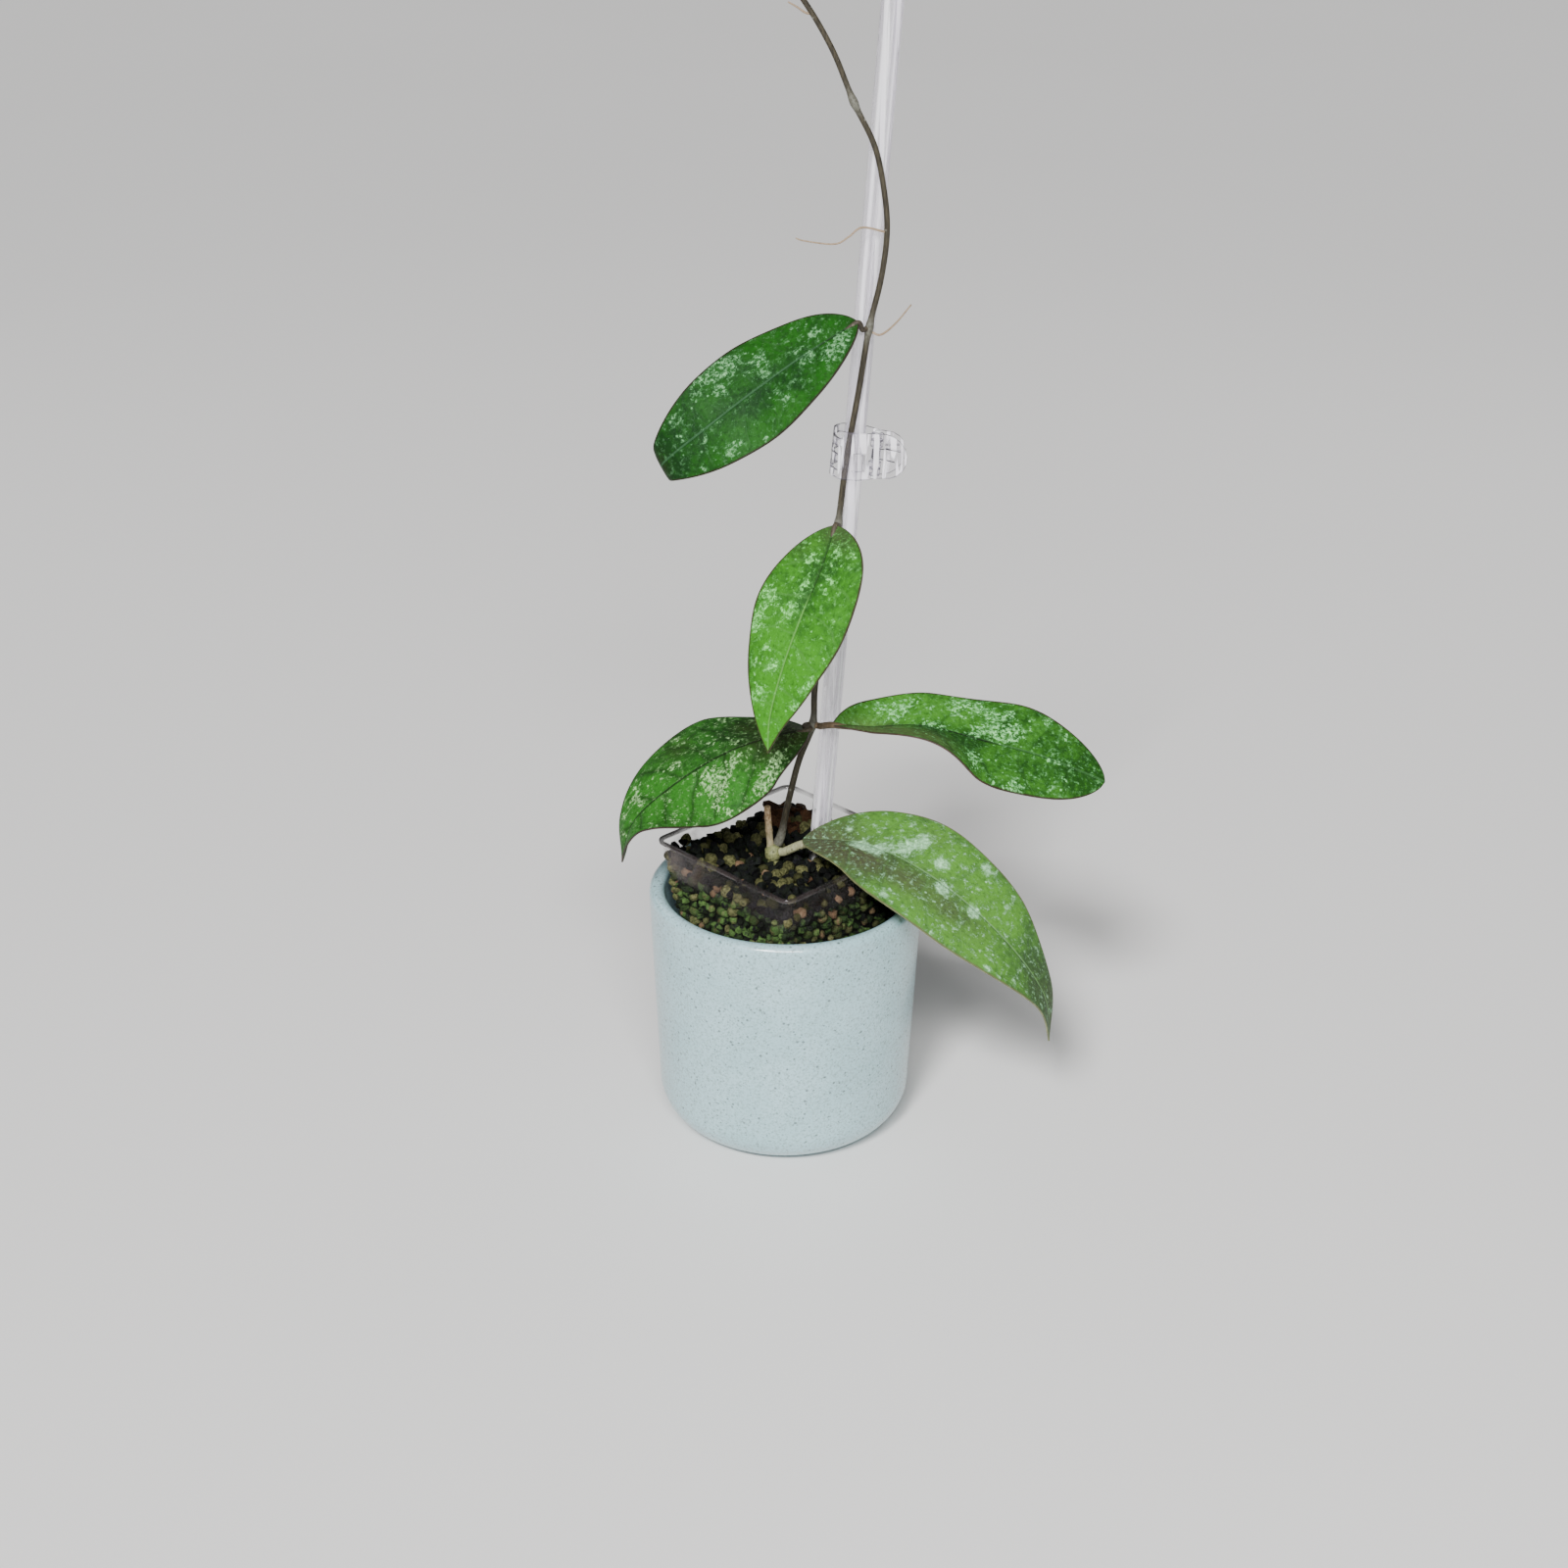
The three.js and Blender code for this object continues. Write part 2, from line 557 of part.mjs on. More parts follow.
// Leaf stalk, from just off the stem to under the base of the blade
function petioleSolid(leaf, spare = 0) {
  const base = vector(leaf.midrib[0]);
  const out = vector(leaf.out).normalize();
  const start = vector(leaf.node).addScaledVector(out, leaf.nodeRadius + SEAT);
  const bend = start.clone().addScaledVector(out, PETIOLE.straight);
  const inside = bladeFrames(leaf, Math.round(1 / PETIOLE.reach))[1];
  const end = inside.centre.addScaledVector(inside.normal, -PETIOLE.drop);
  const curve = curveThrough([start, bend, base, end].map((point) => point.toArray()));
  const radiusAt = (t) => THREE.MathUtils.lerp(leaf.petioleRadius, PETIOLE.endRadius, t) + spare;
  return toSolid(tube(curve, radiusAt, PETIOLE.steps, PETIOLE.sides));
}

function leafSolid(leaf) {
  return toSolid(bladeGeometry(leaf)).add(petioleSolid(leaf));
}

// Clip: two jaws round a pin, with lugs that take turns along it
function jawBand(mirror) {
  const { jaw, jawSteps, thickness, halfHeight } = CLIP;
  const curve = curveThrough(jaw.map(([x, y]) => [x, y * mirror, 0]));
  const half = thickness / 2;
  const far = [];
  const near = [];
  for (let i = 0; i <= jawSteps; i += 1) {
    const point = curve.getPointAt(i / jawSteps);
    const tangent = curve.getTangentAt(i / jawSteps);
    far.push(new THREE.Vector2(point.x - tangent.y * half, point.y + tangent.x * half));
    near.unshift(new THREE.Vector2(point.x + tangent.y * half, point.y - tangent.x * half));
  }
  const shape = new THREE.Shape([...far, ...near]);
  const band = new THREE.ExtrudeGeometry(shape, { depth: 2 * halfHeight, bevelEnabled: false });
  band.translate(0, 0, -halfHeight);
  return toSolid(band);
}

// Front view of a jaw: straight at the teeth and round at the finger tab
function jawSilhouette() {
  const { halfHeight, shoulderX, tabRadius, tabX, tabSteps, cutReach } = CLIP;
  const shape = new THREE.Shape([
    new THREE.Vector2(-cutReach, -halfHeight),
    new THREE.Vector2(shoulderX, -halfHeight),
    ...arcPoints(tabX, 0, tabRadius, -90, 90, tabSteps),
    new THREE.Vector2(shoulderX, halfHeight),
    new THREE.Vector2(-cutReach, halfHeight),
  ]);
  const slab = new THREE.ExtrudeGeometry(shape, { depth: cutReach, bevelEnabled: false });
  slab.translate(0, 0, -cutReach / 2);
  slab.rotateX(Math.PI / 2);
  return toSolid(slab);
}

// The spaces between a jaw's teeth, spaced both ways from its first tooth
function toothGaps(firstTooth) {
  const { halfHeight, toothPitch, toothWidth, toothBite, teethX, cutReach } = CLIP;
  const count = Math.ceil(halfHeight / toothPitch);
  const gaps = [];
  for (let i = -count; i <= count + 1; i += 1) {
    const low = firstTooth - i * toothPitch + toothWidth / 2;
    const high = low + toothPitch - toothWidth;
    gaps.push(box(-cutReach, teethX, -toothBite, toothBite, low, high));
  }
  return join(gaps);
}

function pinCylinder(radius, sides) {
  return toSolid(straightCylinder(radius, -CLIP.cutReach, CLIP.cutReach, sides));
}

function opening(x, width, z, height) {
  const half = CLIP.cutReach / 2;
  return box(x - width / 2, x + width / 2, -half, half, z - height / 2, z + height / 2);
}

function jawSolid(mirror, ownLugs, firstTooth) {
  const { lugRadius, lugLength, lugSides, webReach, pinRadius, boreSides } = CLIP;
  const band = jawBand(mirror).intersect(jawSilhouette());
  const levels = join(ownLugs.map((z) => box(
    -webReach, webReach, -webReach, webReach, z - lugLength / 2, z + lugLength / 2,
  )));
  const lugs = pinCylinder(lugRadius, lugSides).intersect(levels);
  const windowHole = opening(CLIP.windowX, CLIP.windowWidth, CLIP.windowZ, CLIP.windowHeight);
  const slit = opening(CLIP.slitX, CLIP.slitLength, CLIP.slitZ, CLIP.slitWidth);
  return band.subtract(pinCylinder(lugRadius + SEAT, lugSides)).add(band.intersect(levels)).add(lugs)
    .subtract(join([pinCylinder(pinRadius + SEAT, boreSides), windowHole, slit, toothGaps(firstTooth)]));
}

function pinGeometry() {
  const { pinRadius, pinHalf, pinSides, headRadius, headHeight } = CLIP;
  const profile = [
    new THREE.Vector2(0, -pinHalf - headHeight),
    new THREE.Vector2(headRadius, -pinHalf - headHeight),
    new THREE.Vector2(headRadius, -pinHalf),
    new THREE.Vector2(pinRadius, -pinHalf),
    new THREE.Vector2(pinRadius, pinHalf),
    new THREE.Vector2(headRadius, pinHalf),
    new THREE.Vector2(headRadius, pinHalf + headHeight),
    new THREE.Vector2(0, pinHalf + headHeight),
  ];
  const pin = new THREE.LatheGeometry(profile, pinSides);
  pin.rotateX(Math.PI / 2);
  return pin;
}

// Spring: the coil on the pin, wound so that both legs leave it towards the tabs. Its upper leg
// lies along the back tab.
const coilHalf = (CLIP.coilTurns * CLIP.coilPitch) / 2;

function legPoints(side) {
  const { legKnee, legEnd } = CLIP;
  return [
    [legKnee[0], legKnee[1] * side, coilHalf * side],
    [legEnd[0], legEnd[1] * side, (coilHalf + SEAT) * side],
  ];
}

function springGeometry() {
  const { coilRadius, coilTurns, coilPitch, stepsPerTurn, coilSides, wireRadius, legSteps } = CLIP;
  const steps = coilTurns * stepsPerTurn;
  const points = [];
  for (let i = 0; i <= steps; i += 1) {
    const angle = Math.PI / 2 + (2 * Math.PI * (steps - i)) / stepsPerTurn;
    const z = (i / stepsPerTurn) * coilPitch - coilHalf;
    points.push([coilRadius * Math.cos(angle), coilRadius * Math.sin(angle), z]);
  }
  const curve = curveThrough([...points, ...legPoints(1)]);
  return tube(curve, () => wireRadius, steps + legSteps, coilSides);
}

// Spring's lower leg, which presses on the front tab and moves with it
function springArmGeometry() {
  const { coilRadius, wireRadius, armSteps, armSides } = CLIP;
  const start = [SEAT + wireRadius, -coilRadius, -coilHalf];
  return tube(curveThrough([start, ...legPoints(-1)]), () => wireRadius, armSteps, armSides);
}

const group = new THREE.Group();

function addPiece(name, geometry, colour, finish = {}, parent = group) {
  const material = new THREE.MeshStandardMaterial({ color: colour, roughness: 0.6, metalness: 0, ...finish });
  const mesh = new THREE.Mesh(geometry, material);
  mesh.name = name;
  parent.add(mesh);
  return mesh;
}

const clear = { transparent: true, opacity: 0.35, roughness: 0.1 };
const wire = { metalness: 1, roughness: 0.3 };

const cachepot = addPiece('cachepot', cachepotGeometry(), 0xb9c8c3, { roughness: 0.25 });
cachepot.rotation.x = Math.PI / 2;
addPiece('nursery_pot', nurseryGeometry(), 0xd9d6d2, clear);

const { holeSpare } = SUBSTRATE;
const holes = join([
  cuttingSolid(holeSpare),
  toSolid(stakeGeometry(holeSpare)),
  petioleSolid(LEAVES.leaf_basal, holeSpare),
]);
const grit = join([substrateCore(), ...grains()]).intersect(potInside());
addPiece('substrate', toGeometry(mainBody(grit.subtract(holes))), 0x2b2a22, { roughness: 0.95 });
addPiece('cutting_base', toGeometry(cuttingSolid()), 0xa7a468, { roughness: 0.8 });
addPiece('vine', toGeometry(vineSolid()), 0x4b4632, { roughness: 0.75 });
addPiece('stake', stakeGeometry(), 0xe6dcdc, clear);

Object.entries(LEAVES).forEach(([name, leaf]) => {
  addPiece(name, toGeometry(leafSolid(leaf)), leaf.colour, { roughness: 0.45 });
});

const clip = new THREE.Group();
clip.position.set(CLIP.x, CLIP.y, CLIP.z);
clip.rotation.y = CLIP.tilt;
group.add(clip);
const backJaw = jawSolid(1, CLIP.backLugs, CLIP.backTooth);
const frontJaw = jawSolid(-1, CLIP.frontLugs, CLIP.frontTooth);
addPiece('clip_back_jaw', toGeometry(backJaw), 0xe9e4ea, clear, clip);
addPiece('clip_front_jaw', toGeometry(frontJaw), 0xe9e4ea, clear, clip);
addPiece('clip_pin', pinGeometry(), 0xc9c9c9, wire, clip);
addPiece('clip_spring', springGeometry(), 0x4a4a4a, wire, clip);
addPiece('clip_spring_arm', springArmGeometry(), 0x4a4a4a, wire, clip);

export default group;
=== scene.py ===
# A splash hoya in a clear square nursery pot, standing in a glazed cachepot and clipped to a clear stake.
# Metres, +Z up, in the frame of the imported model: the origin is the centre of the cachepot's base.
import bisect
import json
import math
import random

import bpy
from mathutils import Euler, Matrix, Vector

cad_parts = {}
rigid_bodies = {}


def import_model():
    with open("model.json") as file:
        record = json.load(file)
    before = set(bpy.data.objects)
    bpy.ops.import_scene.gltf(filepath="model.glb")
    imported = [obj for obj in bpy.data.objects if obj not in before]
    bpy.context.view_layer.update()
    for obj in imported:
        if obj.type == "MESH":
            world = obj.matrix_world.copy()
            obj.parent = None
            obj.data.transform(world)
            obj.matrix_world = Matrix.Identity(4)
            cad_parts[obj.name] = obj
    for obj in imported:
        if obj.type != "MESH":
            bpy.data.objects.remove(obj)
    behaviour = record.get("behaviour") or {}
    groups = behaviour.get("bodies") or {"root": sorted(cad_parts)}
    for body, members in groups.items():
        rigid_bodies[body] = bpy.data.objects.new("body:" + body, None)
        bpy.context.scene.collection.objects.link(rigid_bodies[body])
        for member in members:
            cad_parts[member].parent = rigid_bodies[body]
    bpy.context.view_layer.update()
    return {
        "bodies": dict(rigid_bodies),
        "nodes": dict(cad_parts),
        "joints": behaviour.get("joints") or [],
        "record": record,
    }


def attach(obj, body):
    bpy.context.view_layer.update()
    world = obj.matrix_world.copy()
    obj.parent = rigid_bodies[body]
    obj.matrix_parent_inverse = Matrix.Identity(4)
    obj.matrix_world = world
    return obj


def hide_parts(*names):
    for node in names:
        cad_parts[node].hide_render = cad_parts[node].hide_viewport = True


MM = 0.001

# Subdividing makes at most 100 cuts at a time, so a longer skin is cut in two passes.
MOST_CUTS = 100
SECOND_PASS = 10

# How far the skin of a stem stays inside its solid, in mm.
STEM_EASE = 0.02

# Glazed cachepot
CACHEPOT = {
    "rim_radius": 55, "height": 104.3, "wall": 6.3, "foot_radius": 51.6, "heel": 16.3,
    "floor": 7, "inner_heel": 9, "sides": 128,
}

# Clear square pot, set corner-on. Half sizes are from its centre to a flat side.
NURSERY = {
    "x": 0.6, "y": 0.8, "rim_z": 123, "bottom": 7.3, "half": 37, "wall": 0.8, "floor": 1.2,
    "draft": 0.114, "rim_corner": 4, "corner": 6, "ease_depth": 20, "lip": 0.95, "lip_height": 1.6,
    "lip_round": 0.3,
}

# Coarse grit in the pot. It rises to the back, with a bank by the left wall and a heap at the back.
GRIT = {
    "top": 112.6, "bank": (-44, 5), "bank_height": 6, "bank_reach": 14,
    "rise_from": 4, "rise_to": 28, "rise_height": 4.4, "heap": (4, 36), "heap_height": 1.2, "heap_reach": 12,
}

# Loose stones over the grit. Each layer has its lift and its shift along a row; bark lies near the heap.
SURFACE_STONES = {
    "spacing": 4.5, "least": 1.5, "most": 2.9, "layers": [(-2.2, 0.5), (0.3, 0)], "scatter": 0.8, "lift": 0.6,
    "corner_reach": 1.72, "moss": 0.05, "bark_reach": 15, "bark_share": 0.6,
}

# Loose stones in rows behind the clear wall. Moss grows on them below a height, more of it at the left.
WALL_STONES = {
    "gap": 0.4, "spacing": 4.0, "rows": 11, "step": 3.7, "above": 6.2, "least": 1.3, "most": 2.4,
    "scatter": 0.3, "lift": 0.8, "sunk": 0.92, "inner": 6, "proud": 0.5,
    "moss_below": 1.5, "moss_fade": 6, "moss_right": 0.75, "moss": (0.2, 0.7, 1.0, 1.2),
}

# Up to which share a stone is lava, then pumice. The rest are tan pebbles.
STONE_SHARES = {"surface": (0.70, 0.96), "wall": (0.67, 0.93)}

# How much larger than its place each stone is made, bark more than the rest, and how far it is drawn out.
STONE_SIZE = {"all": 1.12, "bark": 1.35, "bark_stretch": 1.3, "stretch": (0.95, 1.2), "breadth": (0.85, 1.1)}

# Body of grit under the loose stones: heights at the wall and away from it, and how its top closes.
BED = {
    "gap": 3.6, "above_floor": 0.3, "at_wall": (40, 70), "inside": (76, 90, 101, 106),
    "closing": (1, 0.86, 0.66, 0.42, 0.2), "below": 2.4,
}

# Clear stake, leaning a little to the right. Each painted highlight, a paler upright band round the stake,
# has its middle and width in degrees and a strength.
STAKE = {
    "x": 6.0, "y": 9, "lean": 0.06355, "radius": 4, "length": 450, "bottom": 25, "chamfer": 0.6, "sides": 72,
    "painted_highlights": [
        (-118, 13, 1.0), (-82, 6, 0.5), (-55, 9, 0.8), (-15, 7, 0.5),
        (35, 9, 0.7), (80, 12, 0.9), (125, 6, 0.5), (165, 9, 0.7),
    ],
}

# Old cutting: knob at the surface with a dead stub, and stem and roots under the grit
CUTTING = {
    "knob": (-5.2, 4, 115.6), "knob_radius": 3.8,
    "stub": [(-6.2, 4.4, 117), (-6.9, 4.8, 125), (-7.7, 5.2, 135.6)], "stub_radius": 1.4,
    "stem": [(-5.2, 4, 114), (-4.6, 4, 100), (-4, 3.6, 84)], "stem_radius": 2.3,
    "roots": [
        [(-4.4, 3.8, 96), (-14, -3, 78), (-20, -8, 48)],
        [(-4.4, 3.8, 92), (4, -8, 74), (7, -17, 46)],
        [(-4.2, 3.7, 88), (-9, 14, 68), (-12, 20, 40)],
        [(-4.1, 3.6, 86), (-2, 2, 62), (2, -1, 34)],
    ],
    "root_radius": 0.9, "stub_loss": 0.06, "stub_pale": 14,
}

# Rings of old scars round the stub: height over its radius, place along it and width
STUB_SCARS = [(0.14, 0.45, 0.04), (0.2, 0, 0.1)]

# Climbing stem, from the knob to the growing tip, thicker at its foot and nodes, where it is pale too
VINE = {
    "path": [
        (-3.5, 4.9, 119.4), (-2, 4.6, 123.4), (1, 4.2, 139.6), (4.8, 4, 156.6), (10, 4, 172.3),
        (10.7, 4, 188.5), (14.2, 4, 221.1), (18.5, 4, 254.7), (20.3, 4, 272), (21.9, 4, 285.3),
        (25.4, 3.8, 307.7), (28.5, 3.6, 329.7), (32.3, 3.4, 347.6), (34, 3.2, 363.4), (32.9, 3, 377.2),
        (29, 2.6, 394.2), (21.2, 2, 409.6), (13.4, 1, 427.3), (3.4, 0, 443.4), (-9, -1, 458),
        (-21, -1.5, 465.5),
    ],
    "foot_radius": 2.0, "foot_length": 6, "low_radius": 1.35, "high_radius": 0.95,
    "tip_radius": 0.5, "tip_length": 25,
    "nodes": [(10, 4, 172.3), (18.5, 4, 254.7), (28.5, 3.6, 329.7), (21.2, 2, 409.6)],
    "node_swell": 0.55, "node_length": 2.6, "pale_node": 4.5, "pale_foot": 9,
}
AERIAL_ROOTS = [
    [(33.9, 3.2, 364.4), (25.1, 1, 366.5), (20.6, -1, 363.8), (15.4, -2, 361.2), (4.7, -2, 362.2),
     (1.5, -2, 363.2)],
    [(29.2, 3.6, 328.4), (32.8, 2.6, 327.6), (37.9, 1, 332.2), (43.3, 0, 339.3)],
    [(6.2, 0.3, 439), (4.1, 0.2, 439.3), (1.1, 0, 441.2), (-1.9, 0, 442.8)],
]
AERIAL_ROOT_RADIUS = 0.45

# Leaves. The midrib runs from the petiole to the tip, roll and fold are degrees spread along it.
LEAVES = {
    "leaf_basal": {
        "node": (-5.2, 4, 115.6), "node_radius": 3.8, "out": (0.87, -0.4, 0.3), "petiole_radius": 1.8,
        "sag": 2.2,
        "midrib": [(6.9, -1.6, 124.5), (32.7, -12.2, 127), (57.9, -27.8, 120.6), (82.9, -38.1, 102.1),
                   (100.5, -41.5, 78.2), (104.3, -44, 57.8)],
        "half_width": 26.1, "swell": 0.61, "taper": 0.97, "up": (0.2, -0.35, 1), "arch": 0.08,
        "roll": (-11, -2, -5, -26), "fold": (16, 6, 11), "wave": 0.5, "pucker": 0.25,
    },
    "leaf_lower_left": {
        "node": (10, 4, 172.3), "node_radius": 1.8, "out": (-0.85, -0.5, 0), "petiole_radius": 1.3,
        "midrib": [(8.8, -4.2, 173.5), (-8.3, -2.9, 168.8), (-25.7, -5.1, 162.4), (-44.3, -6.9, 150.1),
                   (-59.1, -12.8, 137.6), (-64.2, -20.3, 123.2)],
        "half_width": 27.2, "swell": 0.58, "taper": 0.88, "up": (-0.2, -0.45, 1), "arch": 0.04,
        "roll": (25, 2, 1, 42), "fold": (-15, -7, 13), "wave": 0.3, "pucker": 0.75,
    },
    "leaf_lower_right": {
        "node": (10, 4, 172.3), "node_radius": 1.8, "out": (0.85, -0.5, 0), "petiole_radius": 1.35,
        "midrib": [(17.6, -6.2, 176.5), (32, -3.9, 174.4), (52.7, -8, 176.8), (74.8, -9.5, 171.8),
                   (98.4, -14.8, 167.5), (123, -16.5, 157.9)],
        "half_width": 22.8, "swell": 0.66, "taper": 0.61, "up": (0.1, -0.3, 1), "arch": 0,
        "roll": (-1, -15, 10, 18), "fold": (31, 6, -5), "wave": 0.3, "pucker": 0.3,
    },
    "leaf_middle": {
        "node": (18.5, 4, 254.7), "node_radius": 1.7, "out": (0, -1, 0), "petiole_radius": 1.2,
        "midrib": [(17.4, -4.5, 257), (11.9, -17.3, 243.8), (4.7, -25.9, 227.9), (-1.6, -31.2, 210.7),
                   (-6.2, -34.4, 192.3), (-7.1, -37.1, 178.3)],
        "half_width": 19.9, "swell": 0.6, "taper": 1.04, "up": (0, -0.6, 0.8), "arch": 0.05,
        "roll": (26, 17, 16, 16), "fold": (4, 5, 3), "wave": 0.5, "pucker": 0.25,
    },
    "leaf_upper": {
        "node": (28.5, 3.6, 329.7), "node_radius": 1.6, "out": (-0.8, -0.6, 0), "petiole_radius": 1,
        "midrib": [(24.2, -0.9, 332.8), (5.7, -2, 321.1), (-13.4, -5.7, 308.1), (-31.2, -9.5, 295),
                   (-45.8, -6.7, 281.9), (-46.2, 2.2, 276.2)],
        "half_width": 19.8, "swell": 0.6, "taper": 0.81, "up": (-0.1, -0.75, 0.65), "arch": 0.05,
        "roll": (20, 9, -7, -9), "fold": (6, 1, 2), "wave": 0.4, "pucker": 0.25,
    },
}
BLADE = {
    "along": 120, "across": 60, "middle": 1.1, "edge": 0.55, "ridge": 1.0, "base_half": 1.1, "tip_half": 0.25,
    "veins": 8, "vein_sweep": 0.14, "waves": 3, "wave_shift": 2, "thin_reach": 5, "ridge_reach": 0.9,
}
PETIOLE = {
    "sunk": 0.3, "straight": 2.0, "end_radius": 0.9, "taper_from": 0.55, "reach": 0.07, "drop": 0.5,
    "sag_at_end": 0.3,
}

# Camera of the photograph
CAMERA = {"place": (-1.042, -825.322, 539.669), "pitch": 25.382, "roll": 0.476, "focal_px": 2359.716}
SENSOR_MM = 36
IMAGE_PX = 1600


# Paths and rings

class Path:
    """A smooth curve through points, measured along its length."""

    def __init__(self, points, steps=600):
        self.points = [Vector(point) for point in points]
        self.samples = [self.at_parameter(i / steps) for i in range(steps + 1)]
        self.lengths = [0.0]
        for a, b in zip(self.samples, self.samples[1:]):
            self.lengths.append(self.lengths[-1] + (b - a).length)
        self.length = self.lengths[-1]

    def at_parameter(self, t):
        points = self.points
        place = t * (len(points) - 1)
        i = min(int(place), len(points) - 2)
        f = place - i
        b, c = points[i], points[i + 1]
        a = points[i - 1] if i > 0 else 2 * b - c
        d = points[i + 2] if i + 2 < len(points) else 2 * c - b
        out_b = (c - a) * 0.5
        into_c = (d - b) * 0.5
        return (b + out_b * f + (3 * (c - b) - 2 * out_b - into_c) * f ** 2
                + (2 * (b - c) + out_b + into_c) * f ** 3)

    def at(self, share):
        wanted = share * self.length
        i = min(max(bisect.bisect_left(self.lengths, wanted), 1), len(self.samples) - 1)
        low, high = self.lengths[i - 1], self.lengths[i]
        f = (wanted - low) / (high - low)
        return self.samples[i - 1].lerp(self.samples[i], f)

    def tangent(self, share):
        small = 1e-3
        return (self.at(min(share + small, 1)) - self.at(max(share - small, 0))).normalized()


def along(values, t):
    """Smooth value at t from values spread evenly along 0..1."""
    return Path([(i, value, 0) for i, value in enumerate(values)], 1).at_parameter(t).y


def lerp(a, b, t):
    return a + (b - a) * t


# Modelling steps

def deselect():
    if bpy.context.object and bpy.context.object.mode != "OBJECT":
        end_edit()
    bpy.ops.object.select_all(action="DESELECT")


def choose(obj, *others):
    deselect()
    for each in (obj, *others):
        each.select_set(True)
    bpy.context.view_layer.objects.active = obj


def apply_modifier(obj, kind, name, **settings):
    choose(obj)
    modifier = obj.modifiers.new(name, kind)
    for key, value in settings.items():
        setattr(modifier, key, value)
    bpy.ops.object.modifier_apply(modifier=modifier.name)


def edit_all():
    """Starts to edit the active mesh, with all of it selected."""
    bpy.ops.object.mode_set(mode="EDIT")
    bpy.ops.mesh.select_all(action="SELECT")


def end_edit():
    bpy.ops.object.mode_set(mode="OBJECT")


def face_outwards(obj):
    choose(obj)
    edit_all()
    bpy.ops.mesh.normals_make_consistent(inside=False)
    end_edit()


def smooth(obj, angle=40):
    choose(obj)
    bpy.ops.object.shade_smooth_by_angle(angle=math.radians(angle), keep_sharp_edges=False)


def settle(obj):
    """Moves an object's place and turn into its mesh."""
    choose(obj)
    bpy.ops.object.transform_apply(location=True, rotation=True, scale=True)


def join_all(objects, name):
    choose(*objects)
    bpy.ops.object.join()
    objects[0].name = name
    return objects[0]


def piece(obj, name, body, slot, replaced=(), material=None):
    obj.name = name
    obj.data.name = name
    if material:
        obj.data.materials.append(material)
    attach(obj, body)
    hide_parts(*replaced)
    return obj


def turned(name, profile, sides):
    """A solid of revolution: a disc that is extruded and scaled from one profile point to the next."""
    deselect()
    radius, height = profile[0]
    bpy.ops.mesh.primitive_circle_add(
        vertices=sides, radius=radius * MM, fill_type="NGON", location=(0, 0, height * MM))
    obj = bpy.context.object
    obj.name = name
    edit_all()
    for next_radius, next_height in profile[1:]:
        bpy.ops.mesh.extrude_region_move(
            TRANSFORM_OT_translate={"value": (0, 0, (next_height - height) * MM)})
        grow = next_radius / radius
        bpy.ops.transform.resize(value=(grow, grow, 1), center_override=(0, 0, next_height * MM))
        radius, height = next_radius, next_height
    end_edit()
    settle(obj)
    face_outwards(obj)
    return obj


def cut_upright(obj, cuts):
    """Cuts the upright edges of a cylinder into even bands."""
    level = 1e-4
    bpy.ops.object.mode_set(mode="EDIT")
    bpy.ops.mesh.select_mode(type="EDGE")
    bpy.ops.mesh.select_all(action="DESELECT")
    end_edit()
    for edge in obj.data.edges:
        a, b = (obj.data.vertices[i].co for i in edge.vertices)
        edge.select = abs(a.z - b.z) > level
    bpy.ops.object.mode_set(mode="EDIT")
    if cuts:
        bpy.ops.mesh.subdivide(number_cuts=cuts)
    bpy.ops.mesh.select_mode(type="VERT")
    end_edit()


def lofted(name, rings):
    """A closed skin over rings of points: a cylinder cut into bands, with each band set on its ring."""
    deselect()
    sides, bands = len(rings[0]), len(rings) - 1
    bpy.ops.mesh.primitive_cylinder_add(vertices=sides, radius=1, depth=2, end_fill_type="NGON")
    obj = bpy.context.object
    obj.name = name
    if bands > MOST_CUTS:
        cut_upright(obj, bands // SECOND_PASS - 1)
        cut_upright(obj, SECOND_PASS - 1)
    else:
        cut_upright(obj, bands - 1)
    for vertex in obj.data.vertices:
        band = round((vertex.co.z + 1) / 2 * bands)
        side = round(math.atan2(vertex.co.x, vertex.co.y) / (2 * math.pi) * sides) % sides
        vertex.co = rings[band][side] * MM
    face_outwards(obj)
    return obj


def swept(name, path, radius_at, steps, sides):
    """A round stem along a path."""
    rings = []
    normal = path.tangent(0).orthogonal()
    for i in range(steps + 1):
        share = i / steps
        tangent = path.tangent(share)
        normal = (normal - tangent * normal.dot(tangent)).normalized()
        side = tangent.cross(normal)
        radius = radius_at(share)
        rings.append([
            path.at(share) + radius * (math.cos(angle) * normal + math.sin(angle) * side)
            for angle in (2 * math.pi * j / sides for j in range(sides))
        ])
    obj = lofted(name, rings)
    smooth(obj)
    return obj


def tapered(radius, loss):
    """The radius along a stem that loses a share of it towards its end."""
    return lambda t: radius * (1 - loss * t)


def set_attribute(obj, name, values):
    attribute = obj.data.attributes.new(name, "FLOAT", "POINT")
    attribute.data.foreach_set("value", values)


def set_evenly(obj, **values):
    """Gives each attribute one value all over a piece."""
    for name, value in values.items():
        set_attribute(obj, name, [value] * len(obj.data.vertices))


# Materials

